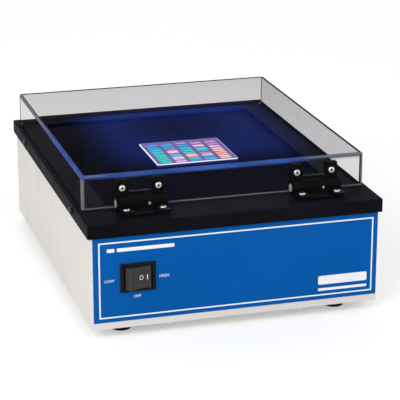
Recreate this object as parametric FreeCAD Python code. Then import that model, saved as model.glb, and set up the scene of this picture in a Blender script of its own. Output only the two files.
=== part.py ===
import FreeCAD, Part
import math
import os

from FreeCAD import Placement, Rotation, Vector

# A bench UV transilluminator: a steel lamp box with a black top, a dark filter window over six
# tube lamps, and a clear UV-blocking cover on two friction hinges along the front edge.
# Millimetres. +X is right, +Y is to the rear, +Z is up; the origin is on the bench, under the middle.

X_AXIS, Y_AXIS, Z_AXIS = Vector(1, 0, 0), Vector(0, 1, 0), Vector(0, 0, 1)

# ---------------------------------------------------------------- lamp box
CASE_WIDTH = 260.0
CASE_DEPTH = 336.0
CASE_HEIGHT = 94.0
CASE_SHEET = 1.2
CASE_RIM = 6.0  # return flange turned in around the open top
CASE_CORNER = 2.0
FOOT_HEIGHT = 9.5
FOOT_RADIUS = 9.5
FOOT_TAPER = 0.8
FOOT_SIDE_INSET = 31.5
FOOT_END_INSET = 24.5
FOOT_WELL_RADIUS = 5.0
FOOT_WELL_DEPTH = 4.5

# ---------------------------------------------------------------- black top
TOP_SHEET = 1.5
TOP_FLANGE = 12.0
TOP_CLEARANCE = 1.0  # between the case wall and the flange that hangs over it
TOP_EDGE_RADIUS = 1.0
WINDOW_WIDTH = 210.0
WINDOW_DEPTH = 260.0
WINDOW_Y = 8.0
WINDOW_CORNER = 5.0
SIDE_SCREW_Y = 107.0
SIDE_SCREW_DROP = 6.5  # below the top's surface

# ---------------------------------------------------------------- filter
FILTER_LAP = 5.0  # the glass reaches this far under the window's edge
FILTER_THICKNESS = 4.0
GASKET_THICKNESS = 0.5
CLIP_WIDTH = 14.0
CLIP_SHEET = 1.0
CLIP_LIP = 5.0
CLIP_FOOT = 9.0
CLIP_SPACING = 80.0
CLIP_CLEARANCE = 0.4
STUD_LENGTH = 5.0

# ---------------------------------------------------------------- clear cover
COVER_SIDE_MARGIN = 4.0
COVER_FRONT_MARGIN = 39.4
COVER_REAR_MARGIN = 16.2
COVER_HEIGHT = 30.3
COVER_WALL = 3.0
COVER_GAP = 1.0  # between the cover's edge and the top
COVER_CORNER = 2.5
BUMPER_RADIUS = 1.4
BUMPER_GAP = 0.3

# ---------------------------------------------------------------- hinges
HINGE_X = 79.1
HINGE_SHIFT = 1.5  # the pair stands this far right of the box's middle
HINGE_WIDTH = 45.0
HINGE_LEAF = 20.2  # from the axis to the leaf's far edge
HINGE_STANDOFF = 0.5  # from the knuckle to the face that its leaf is screwed to
HINGE_THICKNESS = 4.5
HINGE_EAR_STEP = 1.0  # the screw ears are this much narrower than the knuckles
HINGE_BAR = 2.4
HINGE_RECESS = 2.0
KNUCKLE_RADIUS = 6.0
KNUCKLE_CENTRE = 21.0
KNUCKLE_GAP = 0.3
PIN_RADIUS = 3.75
PIN_CLEARANCE = 0.05
PIN_END = 0.3
HINGE_HOLE_REACH = 12.7
HINGE_HOLE_SPACING = 32.2
HINGE_COUNTERBORE = 1.2
ADJUSTER_X = 6.0
ADJUSTER_RADIUS = 1.5
ADJUSTER_GAP = 0.35  # between the friction screw and the pin, with the friction let off
ADJUSTER_BOSS = 2.2
HINGE_TRAVEL = 90.0  # degrees

# ---------------------------------------------------------------- rocker switch
SWITCH_X = -89.0
SWITCH_RISE = 45.5  # above the box's underside
BEZEL_SIDE_LAP = 2.0  # the bezel stands this far past the housing
BEZEL_END_LAP = 1.75
BEZEL_THICKNESS = 2.0
HOUSING_WIDTH = 27.0
HOUSING_HEIGHT = 22.0
HOUSING_DEPTH = 25.0
HOUSING_WALL = 0.8
PANEL_CLEARANCE = 0.15
ROCKER_PIVOT_DEPTH = 5.0  # behind the bezel's front face
ROCKER_CORNER_ANGLE = 45.0  # from the pivot, with the rocker level
ROCKER_VALLEY = 6.4
ROCKER_SKIRT = 1.5
ROCKER_TILT = 15.0
ROCKER_SIDE_CLEARANCE = 0.3
ROCKER_HUB_RADIUS = 2.6
ROCKER_STUB_RADIUS = 1.5
ROCKER_STUB_LENGTH = 0.6
BLADE_WIDTH = 6.3
BLADE_THICKNESS = 0.8
BLADE_LENGTH = 8.0

# ---------------------------------------------------------------- front label
LABEL_THICKNESS = 0.4
LABEL_LEFT_MARGIN = 2.0
LABEL_RIGHT_MARGIN = 1.0
LABEL_BOTTOM_MARGIN = 6.3
LABEL_TUCK = 4.0  # it runs up behind the top's flange

# ---------------------------------------------------------------- lamps
LAMP_COUNT = 6
LAMP_PITCH = 33.0
LAMP_LENGTH = 288.3
LAMP_RADIUS = 7.5
LAMP_GLASS = 0.8
LAMP_DROP = 15.0  # from the filter's underside to the lamp's axis
CAP_SKIN = 0.5  # the cap's radius past the glass's
CAP_LENGTH = 12.0
CAP_END = 1.0
LAMP_PIN_RADIUS = 1.18
LAMP_PIN_LENGTH = 7.1
LAMP_PIN_SPACING = 4.75
HOLDER_WIDTH = 20.0
HOLDER_THICKNESS = 12.0
HOLDER_ABOVE = 11.0
HOLDER_BELOW = 15.0
HOLDER_GAP = 0.25
HOLDER_POCKET_RADIUS = 4.1
HOLDER_SLOT = 3.2
TAB_SHEET = 1.5  # the lamp rails and the ballasts' tabs
RAIL_END_MARGIN = 20.0
RAIL_LEG_WIDTH = 20.0
RAIL_LEG_X = 60.0
RAIL_FOOT = 8.0
RAIL_ABOVE = 6.0
RAIL_BELOW = 16.0
REFLECTOR_SHEET = 1.0
REFLECTOR_DROP = 14.0  # from the lamp's axis to the reflector's flat
REFLECTOR_RIDGE = 7.0
REFLECTOR_RIDGE_HALF = 9.0
REFLECTOR_SIDE_MARGIN = 18.0  # from the case's side to the reflector's leg
REFLECTOR_FOOT = 10.0
REFLECTOR_END_GAP = 1.6

# ---------------------------------------------------------------- electrics on the floor
BALLAST_X = 45.0
BALLAST_WIDTH = 40.0
BALLAST_LENGTH = 150.0
BALLAST_HEIGHT = 28.0
BALLAST_TAB = 12.0
BLOCK_X = -91.0
BLOCK_WIDTH = 18.0
BLOCK_LENGTH = 50.0
BLOCK_HEIGHT = 16.0
BLOCK_WAYS = 5
BLOCK_SCREW_RADIUS = 2.4
CABLE_RADIUS = 2.6

# ---------------------------------------------------------------- mains inlet
INLET_X = -89.5
INLET_RISE = 36.5  # above the box's underside
INLET_FLANGE_WIDTH = 50.0
INLET_FLANGE_HEIGHT = 36.0
INLET_FLANGE = 3.0
INLET_BODY_WIDTH = 28.0
INLET_BODY_HEIGHT = 32.0
INLET_BODY_DEPTH = 22.0
INLET_SCREW_SPACING = 40.0
SOCKET_WIDTH = 24.5
SOCKET_HEIGHT = 17.0
SOCKET_DEPTH = 17.0
SOCKET_CHAMFER = 5.0
SOCKET_RISE = 5.0  # the socket's middle above the flange's middle
SOCKET_PIN_WIDTH = 2.0
SOCKET_PIN_HEIGHT = 4.0
SOCKET_PIN_SPACING = 14.0
SOCKET_PIN_LENGTH = 14.0
SOCKET_EARTH_RISE = 4.0
DRAWER_WIDTH = 24.0
DRAWER_HEIGHT = 8.0
DRAWER_DEPTH = 18.0
DRAWER_DROP = 10.0  # the drawer's middle below the flange's middle
DRAWER_CLEARANCE = 0.2
DRAWER_LIP = 1.6
DRAWER_LIP_OVERLAP = 0.8
DRAWER_TRAVEL = 16.0
FUSE_RADIUS = 2.5
FUSE_LENGTH = 20.0
FUSE_CAP = 5.0

# ---------------------------------------------------------------- vents
VENT_WIDTH = 3.5
VENT_LENGTH = 36.0
VENT_PITCH = 9.0
VENT_COUNT = 12
REAR_VENT_X = 40.0
REAR_VENT_RISE = 52.5
FLOOR_VENT_Y = 113.0

# ---------------------------------------------------------------- gel on the window
GEL_WIDTH = 78.0
GEL_DEPTH = 70.0
GEL_THICKNESS = 3.0
GEL_X = 5.0
GEL_Y = 6.0
GEL_CORNER = 1.5

# ---------------------------------------------------------------- fasteners
M3 = {"shank": 1.5, "head": 3.0, "head_height": 2.1, "flats": 5.5, "nut_height": 2.4}
M4 = {"shank": 2.0, "head": 4.0, "head_height": 2.6, "flats": 7.0, "nut_height": 3.2}
HOLE_CLEARANCE = 0.1
THREAD_CLEARANCE = 0.02
THREAD_END = 1.0  # the shank stands this far past its nut

# ---------------------------------------------------------------- levels and planes
FLOOR_Z = FOOT_HEIGHT
SWITCH_Z = FLOOR_Z + SWITCH_RISE
INLET_Z = FLOOR_Z + INLET_RISE
REAR_VENT_Z = FLOOR_Z + REAR_VENT_RISE
INSIDE_Z = FLOOR_Z + CASE_SHEET
RIM_Z = FLOOR_Z + CASE_HEIGHT
TOP_Z = RIM_Z + TOP_SHEET
OVERHANG = TOP_CLEARANCE + TOP_SHEET
TOP_WIDTH = CASE_WIDTH + 2 * OVERHANG
TOP_DEPTH = CASE_DEPTH + 2 * OVERHANG
FLANGE_Z = TOP_Z - TOP_FLANGE
FRONT_Y = -CASE_DEPTH / 2
REAR_Y = CASE_DEPTH / 2
FILTER_TOP_Z = RIM_Z - GASKET_THICKNESS
FILTER_Z = FILTER_TOP_Z - FILTER_THICKNESS
FILTER_WIDTH = WINDOW_WIDTH + 2 * FILTER_LAP
FILTER_DEPTH = WINDOW_DEPTH + 2 * FILTER_LAP
LAMP_Z = FILTER_Z - LAMP_DROP
REFLECTOR_Z = LAMP_Z - REFLECTOR_DROP
COVER_WIDTH = TOP_WIDTH - 2 * COVER_SIDE_MARGIN
COVER_FRONT_Y = -TOP_DEPTH / 2 + COVER_FRONT_MARGIN
COVER_REAR_Y = TOP_DEPTH / 2 - COVER_REAR_MARGIN
COVER_Z = TOP_Z + COVER_GAP
COVER_TOP_Z = COVER_Z + COVER_HEIGHT
HINGE_OFFSET = KNUCKLE_RADIUS + HINGE_STANDOFF  # from the axis to each mounting face
HINGE_Y = COVER_FRONT_Y - HINGE_OFFSET
HINGE_Z = TOP_Z + HINGE_OFFSET
LABEL_Y = FRONT_Y - LABEL_THICKNESS
BEZEL_Y = LABEL_Y - BEZEL_THICKNESS
PIVOT_Y = BEZEL_Y + ROCKER_PIVOT_DEPTH
BEZEL_WIDTH = HOUSING_WIDTH + 2 * BEZEL_SIDE_LAP
BEZEL_HEIGHT = HOUSING_HEIGHT + 2 * BEZEL_END_LAP
ROCKER_RADIUS = HOUSING_WIDTH / 2 - HOUSING_WALL - ROCKER_SIDE_CLEARANCE
CAP_RADIUS = LAMP_RADIUS + CAP_SKIN
ADJUSTER_LENGTH = KNUCKLE_RADIUS + KNUCKLE_GAP - PIN_RADIUS - ADJUSTER_GAP
HOLDER_FACE_Y = LAMP_LENGTH / 2 + HOLDER_GAP
HOLDER_BACK_Y = HOLDER_FACE_Y + HOLDER_THICKNESS
RAIL_WIDTH = CASE_WIDTH - 2 * (CASE_SHEET + RAIL_END_MARGIN)
REFLECTOR_WIDTH = CASE_WIDTH - 2 * REFLECTOR_SIDE_MARGIN
LAMP_XS = [LAMP_PITCH * (i - (LAMP_COUNT - 1) / 2) for i in range(LAMP_COUNT)]
HINGE_XS = {"left": HINGE_SHIFT - HINGE_X, "right": HINGE_SHIFT + HINGE_X}
DRAWER_Z = INLET_Z - DRAWER_DROP
INLET_FACE_Y = REAR_Y + INLET_FLANGE


# ================================================================ helpers
def block(x0, x1, y0, y1, z0, z1):
    return Part.makeBox(x1 - x0, y1 - y0, z1 - z0, Vector(x0, y0, z0))


def rod(radius, start, direction, length):
    return Part.makeCylinder(radius, length, start, direction)


def upright_edges(shape):
    """The straight edges that run along Z."""
    found = []
    for edge in shape.Edges:
        if len(edge.Vertexes) == 2:
            low, high = (v.Point for v in edge.Vertexes)
            if math.hypot(low.x - high.x, low.y - high.y) < 1e-6:
                found.append(edge)
    return found


def level_edges(shape, z):
    """The edges that lie in the plane at height z."""
    return [e for e in shape.Edges if all(abs(v.Z - z) < 1e-6 for v in e.Vertexes)]


def rounded_block(x0, x1, y0, y1, z0, z1, radius):
    made = block(x0, x1, y0, y1, z0, z1)
    return made.makeFillet(radius, upright_edges(made))


def prism(points, extrusion):
    """A closed outline of points, carried along extrusion."""
    return Part.Face(Part.makePolygon([*points, points[0]])).extrude(extrusion)


def corners(x, y):
    return [(sx * x, sy * y) for sx in (-1, 1) for sy in (-1, 1)]


def point_along(shape, place, direction):
    """Turns a shape made along +Z to point along direction, and moves its origin to place."""
    turned = shape.copy()
    turned.Placement = Placement(place, Rotation(Z_AXIS, direction))
    return turned


def pan_screw(size, seat, outward, shank_length):
    """A cross-recessed pan-head screw: its head stands on seat, and its shank runs the other way."""
    height = size["head_height"]
    head = rod(size["head"], Vector(0, 0, 0), Z_AXIS, height)
    head = head.makeFillet(0.45 * height, level_edges(head, height))
    arm, half = 0.55 * size["head"], 0.11 * size["head"]
    depth = 0.5 * height
    for x, y in ((arm, half), (half, arm)):
        head = head.cut(block(-x, x, -y, y, height - depth, height + 1))
    shank = rod(size["shank"], Vector(0, 0, -shank_length), Z_AXIS, shank_length)
    return point_along(head.fuse(shank).removeSplitter(), seat, outward)


def nut(size, seat, outward):
    """A hexagon nut standing on seat, bored to pass its screw."""
    across = size["flats"] / math.sqrt(3)
    ring = [
        Vector(across * math.cos(k * math.pi / 3), across * math.sin(k * math.pi / 3), 0)
        for k in range(6)
    ]
    height = size["nut_height"]
    made = prism(ring, Vector(0, 0, height))
    bore = rod(size["shank"] + THREAD_CLEARANCE, Vector(0, 0, -1), Z_AXIS, height + 2)
    return point_along(made.cut(bore), seat, outward)


def hole(size, start, direction, length):
    return rod(size["shank"] + HOLE_CLEARANCE, start, direction, length)


def tube(points, radius):
    """A round cable along straight runs joined by tangent arcs."""
    edges, here, radii = [], points[0], []
    for before, at, after in zip(points, points[1:], points[2:]):
        run_in, run_out = at - before, after - at
        half_turn = run_in.getAngle(run_out) / 2
        tangent = 0.45 * min(run_in.Length, run_out.Length)
        radius_here = tangent / math.tan(half_turn)
        radii.append(radius_here)
        start = at - run_in.normalize() * tangent
        end = at + run_out.normalize() * tangent
        inward = ((start + end) * 0.5 - at).normalize()
        middle = at + inward * (radius_here / math.cos(half_turn) - radius_here)
        edges.append(Part.makeLine(here, start))
        edges.append(Part.Arc(start, middle, end).toShape())
        here = end
    edges.append(Part.makeLine(here, points[-1]))
    direction = points[1] - points[0]
    section = Part.Wire(Part.makeCircle(radius, points[0], direction))
    made = Part.Wire(edges).makePipeShell([section], True, False)
    length = sum(e.Length for e in edges)
    share = made.Volume / (math.pi * radius**2 * length)
    print(f"cable: length {length:.0f}, tightest radius {min(radii):.1f}, volume share {share:.4f}")
    return made


NODES = {}


def keep(name, *solids):
    """Keeps one node: a single solid, or a group of separate solids."""
    NODES[name] = solids[0] if len(solids) == 1 else Part.makeCompound(list(solids))


# ================================================================ lamp box
def vent_row(x, y, z, along_y):
    """A row of round-ended slots, centred on a point, cut through a wall or the floor."""
    slots = []
    for k in range(VENT_COUNT):
        middle = x + VENT_PITCH * (k - (VENT_COUNT - 1) / 2)
        half_width, half_length = VENT_WIDTH / 2, VENT_LENGTH / 2
        depth = 2 * CASE_SHEET
        slot = block(-half_width, half_width, -half_length, half_length, -depth, depth)
        slot = slot.makeFillet(0.98 * half_width, upright_edges(slot))
        turn = Rotation() if along_y else Rotation(X_AXIS, 90)
        slot.Placement = Placement(Vector(middle, y, z), turn)
        slots.append(slot)
    return slots


def foot_places():
    across = CASE_WIDTH / 2 - FOOT_SIDE_INSET
    return corners(across, CASE_DEPTH / 2 - FOOT_END_INSET)


def side_screw_places():
    """Where the top's side screws enter, with the direction that each head faces."""
    return [
        (Vector(side * TOP_WIDTH / 2, y, TOP_Z - SIDE_SCREW_DROP), X_AXIS * side)
        for side in (-1, 1)
        for y in (-SIDE_SCREW_Y, SIDE_SCREW_Y)
    ]


def rail_screw_places():
    reach = HOLDER_BACK_Y + TAB_SHEET + RAIL_FOOT / 2
    return corners(RAIL_LEG_X, reach)


def ballast_screw_places():
    reach = BALLAST_LENGTH / 2 + BALLAST_TAB / 2
    return corners(BALLAST_X, reach)


def inlet_screw_places():
    return [INLET_X - INLET_SCREW_SPACING / 2, INLET_X + INLET_SCREW_SPACING / 2]


def make_case():
    half_width, half_depth = CASE_WIDTH / 2, CASE_DEPTH / 2
    shell = rounded_block(
        -half_width, half_width, -half_depth, half_depth, FLOOR_Z, RIM_Z, CASE_CORNER
    )
    inner_x, inner_y = half_width - CASE_SHEET, half_depth - CASE_SHEET
    hollow = block(-inner_x, inner_x, -inner_y, inner_y, INSIDE_Z, RIM_Z - CASE_SHEET)
    mouth_x, mouth_y = inner_x - CASE_RIM, inner_y - CASE_RIM
    mouth = block(-mouth_x, mouth_x, -mouth_y, mouth_y, INSIDE_Z, RIM_Z + 1)
    cuts = [hollow, mouth]
    for x, y in foot_places() + rail_screw_places() + ballast_screw_places():
        cuts.append(hole(M4, Vector(x, y, FLOOR_Z - 1), Z_AXIS, CASE_SHEET + 2))
    for place, outward in side_screw_places():
        cuts.append(hole(M3, place, outward * -1, OVERHANG + 2 * CASE_SHEET))
    cuts.append(panel_hole(FRONT_Y - 1, FRONT_Y + 2 * CASE_SHEET))
    half_body = INLET_BODY_WIDTH / 2 + PANEL_CLEARANCE
    half_tall = INLET_BODY_HEIGHT / 2 + PANEL_CLEARANCE
    cuts.append(
        block(
            INLET_X - half_body, INLET_X + half_body, REAR_Y - 2 * CASE_SHEET, REAR_Y + 1,
            INLET_Z - half_tall, INLET_Z + half_tall,
        )
    )
    for x in inlet_screw_places():
        cuts.append(hole(M3, Vector(x, REAR_Y + 1, INLET_Z), Y_AXIS * -1, 2 * CASE_SHEET + 1))
    cuts += vent_row(REAR_VENT_X, REAR_Y, REAR_VENT_Z, along_y=False)
    for y in (-FLOOR_VENT_Y, FLOOR_VENT_Y):
        cuts += vent_row(0, y, FLOOR_Z, along_y=True)
    keep("lamp_case", shell.cut(cuts))


def make_feet():
    feet, screws, nuts = [], [], []
    for x, y in foot_places():
        cone = Part.makeCone(FOOT_RADIUS - FOOT_TAPER, FOOT_RADIUS, FOOT_HEIGHT, Vector(x, y, 0))
        well = rod(FOOT_WELL_RADIUS, Vector(x, y, -1), Z_AXIS, FOOT_WELL_DEPTH + 1)
        bore = hole(M4, Vector(x, y, 0), Z_AXIS, FOOT_HEIGHT + 1)
        feet.append(cone.cut([well, bore]))
        shank = FOOT_HEIGHT - FOOT_WELL_DEPTH + CASE_SHEET + M4["nut_height"] + THREAD_END
        screws.append(pan_screw(M4, Vector(x, y, FOOT_WELL_DEPTH), Z_AXIS * -1, shank))
        nuts.append(nut(M4, Vector(x, y, INSIDE_Z), Z_AXIS))
    keep("rubber_feet", *feet)
    keep("foot_screws", *screws)
    keep("foot_nuts", *nuts)


# ================================================================ black top and filter
def clip_places():
    """Each filter clip's edge point on the glass, with the direction out of the glass."""
    half_width, half_depth = FILTER_WIDTH / 2, FILTER_DEPTH / 2
    places = []
    for side in (-1, 1):
        places.append((Vector(0, WINDOW_Y + side * half_depth, FILTER_Z), Y_AXIS * side))
        for y in (WINDOW_Y - CLIP_SPACING, WINDOW_Y + CLIP_SPACING):
            places.append((Vector(side * half_width, y, FILTER_Z), X_AXIS * side))
    return places


def stud_reach():
    """From the glass's edge to a clip's stud."""
    return CLIP_CLEARANCE + CLIP_SHEET + CLIP_FOOT / 2


def hinge_hole_xs(centre):
    return (centre - HINGE_HOLE_SPACING / 2, centre + HINGE_HOLE_SPACING / 2)


def make_top():
    half_width, half_depth = TOP_WIDTH / 2, TOP_DEPTH / 2
    outer = rounded_block(
        -half_width, half_width, -half_depth, half_depth, FLANGE_Z, TOP_Z, TOP_EDGE_RADIUS
    )
    outer = outer.makeFillet(TOP_EDGE_RADIUS, level_edges(outer, TOP_Z))
    inner_x, inner_y = half_width - TOP_SHEET, half_depth - TOP_SHEET
    inner = block(-inner_x, inner_x, -inner_y, inner_y, FLANGE_Z - 1, RIM_Z)
    window = rounded_block(
        -WINDOW_WIDTH / 2, WINDOW_WIDTH / 2,
        WINDOW_Y - WINDOW_DEPTH / 2, WINDOW_Y + WINDOW_DEPTH / 2,
        RIM_Z - 1, TOP_Z + 1, WINDOW_CORNER,
    )
    cuts = [inner, window]
    for place, outward in side_screw_places():
        cuts.append(hole(M3, place + outward, outward * -1, TOP_SHEET + 2))
    for centre in HINGE_XS.values():
        for x in hinge_hole_xs(centre):
            start = Vector(x, HINGE_Y - HINGE_HOLE_REACH, RIM_Z - 1)
            cuts.append(hole(M3, start, Z_AXIS, TOP_SHEET + 2))
    sheet = outer.cut(cuts)
    studs = []
    for edge, outward in clip_places():
        foot = edge + outward * stud_reach()
        studs.append(rod(M3["shank"], Vector(foot.x, foot.y, RIM_Z), Z_AXIS * -1, STUD_LENGTH))
    keep("top_cover", sheet.fuse(studs))


def make_side_screws():
    screws, nuts = [], []
    for place, outward in side_screw_places():
        shank = OVERHANG + CASE_SHEET + M3["nut_height"] + THREAD_END
        screws.append(pan_screw(M3, place, outward, shank))
        inside = place - outward * (OVERHANG + CASE_SHEET)
        nuts.append(nut(M3, inside, outward * -1))
    keep("top_side_screws", *screws)
    keep("top_side_nuts", *nuts)


def make_filter():
    half_width, half_depth = FILTER_WIDTH / 2, FILTER_DEPTH / 2
    front, rear = WINDOW_Y - half_depth, WINDOW_Y + half_depth
    keep("filter_glass", block(-half_width, half_width, front, rear, FILTER_Z, FILTER_TOP_Z))
    frame = block(-half_width, half_width, front, rear, FILTER_TOP_Z, RIM_Z)
    opening = rounded_block(
        -WINDOW_WIDTH / 2, WINDOW_WIDTH / 2, front + FILTER_LAP, rear - FILTER_LAP,
        FILTER_TOP_Z - 1, RIM_Z + 1, WINDOW_CORNER,
    )
    keep("filter_gasket", frame.cut(opening))
    clips, nuts = [], []
    for edge, outward in clip_places():
        clips.append(make_clip(edge, outward))
        foot = edge + outward * stud_reach()
        seat = Vector(foot.x, foot.y, RIM_Z - CLIP_SHEET)
        nuts.append(nut(M3, seat, Z_AXIS * -1))
    keep("filter_clips", *clips)
    keep("filter_clip_nuts", *nuts)


def make_clip(edge, outward):
    """A bent clip: a lip under the glass, a riser beside it and a foot on the underside of the top."""
    inner = CLIP_CLEARANCE
    outer = inner + CLIP_SHEET
    end = outer + CLIP_FOOT
    high = RIM_Z - FILTER_Z
    outline = [
        (-CLIP_LIP, -CLIP_SHEET), (outer, -CLIP_SHEET), (outer, high - CLIP_SHEET),
        (end, high - CLIP_SHEET), (end, high), (inner, high), (inner, 0), (-CLIP_LIP, 0),
    ]
    side = outward.cross(Z_AXIS)
    half = side * (CLIP_WIDTH / 2)
    points = [edge - half + outward * along + Z_AXIS * up for along, up in outline]
    strip = prism(points, side * CLIP_WIDTH)
    stud = edge + outward * stud_reach()
    return strip.cut(hole(M3, Vector(stud.x, stud.y, RIM_Z + 1), Z_AXIS * -1, CLIP_SHEET + 2))


# ================================================================ clear cover and hinges
def make_cover():
    half = COVER_WIDTH / 2
    outer = rounded_block(
        -half, half, COVER_FRONT_Y, COVER_REAR_Y, COVER_Z, COVER_TOP_Z, COVER_CORNER
    )
    outer = outer.makeFillet(COVER_CORNER * 0.8, level_edges(outer, COVER_TOP_Z))
    inner = block(
        -half + COVER_WALL, half - COVER_WALL,
        COVER_FRONT_Y + COVER_WALL, COVER_REAR_Y - COVER_WALL,
        COVER_Z - 1, COVER_TOP_Z - COVER_WALL,
    )
    cuts = [inner]
    for centre in HINGE_XS.values():
        for x in hinge_hole_xs(centre):
            start = Vector(x, COVER_FRONT_Y - 1, HINGE_Z + HINGE_HOLE_REACH)
            cuts.append(hole(M3, start, Y_AXIS, COVER_WALL + 2))
    keep("uv_cover", outer.cut(cuts))
    inset = COVER_CORNER + BUMPER_RADIUS
    keep("cover_bumpers", *[
        rod(
            BUMPER_RADIUS, Vector(side * (half - inset), COVER_REAR_Y - COVER_WALL / 2, COVER_Z),
            Z_AXIS * -1, COVER_GAP - BUMPER_GAP,
        )
        for side in (-1, 1)
    ])


def leaf_profile(centre_knuckle):
    """One hinge leaf lying flat: it reaches along -Y from the axis, with its mounting face down.

    The lower leaf holds the middle knuckle and the upper leaf the two outer ones.
    """
    half, ear = HINGE_WIDTH / 2, HINGE_WIDTH / 2 - HINGE_EAR_STEP
    root = KNUCKLE_RADIUS + 2 * KNUCKLE_GAP
    down, face = -HINGE_OFFSET, HINGE_THICKNESS - HINGE_OFFSET
    plate = block(-ear, ear, -HINGE_LEAF, -root, down, face)
    middle = KNUCKLE_CENTRE / 2
    notch_top = face - HINGE_RECESS if centre_knuckle else down - 1
    bar = root + HINGE_BAR
    plate = plate.cut(block(-middle, middle, -HINGE_LEAF - 1, -bar, notch_top, face + 1))
    plate = plate.makeFillet(
        HINGE_EAR_STEP, [e for e in upright_edges(plate) if e.Vertexes[0].Y < 1 - HINGE_LEAF]
    )
    if centre_knuckle:
        spans = [(-middle, middle)]
        bore = PIN_RADIUS + PIN_CLEARANCE
    else:
        start = middle + KNUCKLE_GAP
        spans = [(-half, -start), (start, half)]
        bore = PIN_RADIUS + THREAD_CLEARANCE
    made = plate
    for x0, x1 in spans:
        made = made.fuse(rod(KNUCKLE_RADIUS, Vector(x0, 0, 0), X_AXIS, x1 - x0))
        made = made.fuse(block(x0, x1, -root, KNUCKLE_RADIUS / 2, down, 0))
    if centre_knuckle:
        made = made.fuse(adjuster_rod(ADJUSTER_BOSS, KNUCKLE_GAP))
        made = made.cut(adjuster_rod(ADJUSTER_RADIUS + THREAD_CLEARANCE, 1))
    made = made.cut(rod(bore, Vector(-half - 1, 0, 0), X_AXIS, HINGE_WIDTH + 2))
    for x in hinge_hole_xs(0):
        place = Vector(x, -HINGE_HOLE_REACH, down - 1)
        made = made.cut(hole(M3, place, Z_AXIS, HINGE_THICKNESS + 2))
        seat = Vector(x, -HINGE_HOLE_REACH, face - HINGE_COUNTERBORE)
        made = made.cut(rod(M3["head"] + HOLE_CLEARANCE, seat, Z_AXIS, HINGE_THICKNESS))
    return made.removeSplitter()


def adjuster_rod(radius, proud):
    """A rod from inside the middle knuckle to just proud of its front."""
    start = Vector(ADJUSTER_X, -PIN_RADIUS - PIN_CLEARANCE, 0)
    return rod(radius, start, Y_AXIS * -1, KNUCKLE_RADIUS + proud - PIN_RADIUS - PIN_CLEARANCE)


def make_hinges():
    pins, adjusters = [], []
    low_screws, low_nuts, high_screws, high_nuts = [], [], [], []
    face = HINGE_OFFSET - HINGE_THICKNESS
    for side, centre in HINGE_XS.items():
        axis = Vector(centre, HINGE_Y, HINGE_Z)
        keep(f"hinge_lower_leaf_{side}", leaf_profile(centre_knuckle=True).translated(axis))
        upper = leaf_profile(centre_knuckle=False).mirror(Vector(0, 0, 0), Vector(0, 1, 1))
        keep(f"hinge_upper_leaf_{side}", upper.translated(axis))
        length = HINGE_WIDTH + 2 * PIN_END
        pins.append(rod(PIN_RADIUS, axis - X_AXIS * (length / 2), X_AXIS, length))
        start = Vector(centre + ADJUSTER_X, HINGE_Y - KNUCKLE_RADIUS - KNUCKLE_GAP, HINGE_Z)
        adjusters.append(socket_screw(start))
        shank = HINGE_THICKNESS - HINGE_COUNTERBORE + M3["nut_height"] + THREAD_END
        for x in hinge_hole_xs(centre):
            seat = Vector(x, HINGE_Y - HINGE_HOLE_REACH, HINGE_Z - face - HINGE_COUNTERBORE)
            low_screws.append(pan_screw(M3, seat, Z_AXIS, shank + TOP_SHEET))
            low_nuts.append(nut(M3, Vector(seat.x, seat.y, RIM_Z), Z_AXIS * -1))
            seat = Vector(x, HINGE_Y + face + HINGE_COUNTERBORE, HINGE_Z + HINGE_HOLE_REACH)
            high_screws.append(pan_screw(M3, seat, Y_AXIS * -1, shank + COVER_WALL))
            high_nuts.append(nut(M3, Vector(x, COVER_FRONT_Y + COVER_WALL, seat.z), Y_AXIS))
    keep("hinge_pins", *pins)
    keep("hinge_adjusters", *adjusters)
    keep("hinge_lower_screws", *low_screws)
    keep("hinge_lower_nuts", *low_nuts)
    keep("hinge_upper_screws", *high_screws)
    keep("hinge_upper_nuts", *high_nuts)


def socket_screw(start):
    """The hinge's friction screw, with a hexagon socket in its front end."""
    body = rod(ADJUSTER_RADIUS, start, Y_AXIS, ADJUSTER_LENGTH)
    reach = 0.6 * ADJUSTER_RADIUS
    ring = [
        start + Vector(reach * math.cos(k * math.pi / 3), -1, reach * math.sin(k * math.pi / 3))
        for k in range(6)
    ]
    return body.cut(prism(ring, Y_AXIS * (1 + ADJUSTER_LENGTH / 2)))


# ================================================================ switch and label
def panel_hole(y0, y1):
    """The switch's rectangular hole through the front wall and the label."""
    half_width = HOUSING_WIDTH / 2 + PANEL_CLEARANCE
    half_height = HOUSING_HEIGHT / 2 + PANEL_CLEARANCE
    return block(
        SWITCH_X - half_width, SWITCH_X + half_width, y0, y1,
        SWITCH_Z - half_height, SWITCH_Z + half_height,
    )


def make_label():
    left = -CASE_WIDTH / 2 + LABEL_LEFT_MARGIN
    right = CASE_WIDTH / 2 - LABEL_RIGHT_MARGIN
    low, high = FLOOR_Z + LABEL_BOTTOM_MARGIN, FLANGE_Z + LABEL_TUCK
    sheet = block(left, right, LABEL_Y, FRONT_Y, low, high)
    keep("front_label", sheet.cut(panel_hole(LABEL_Y - 1, FRONT_Y + 1)))


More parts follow.
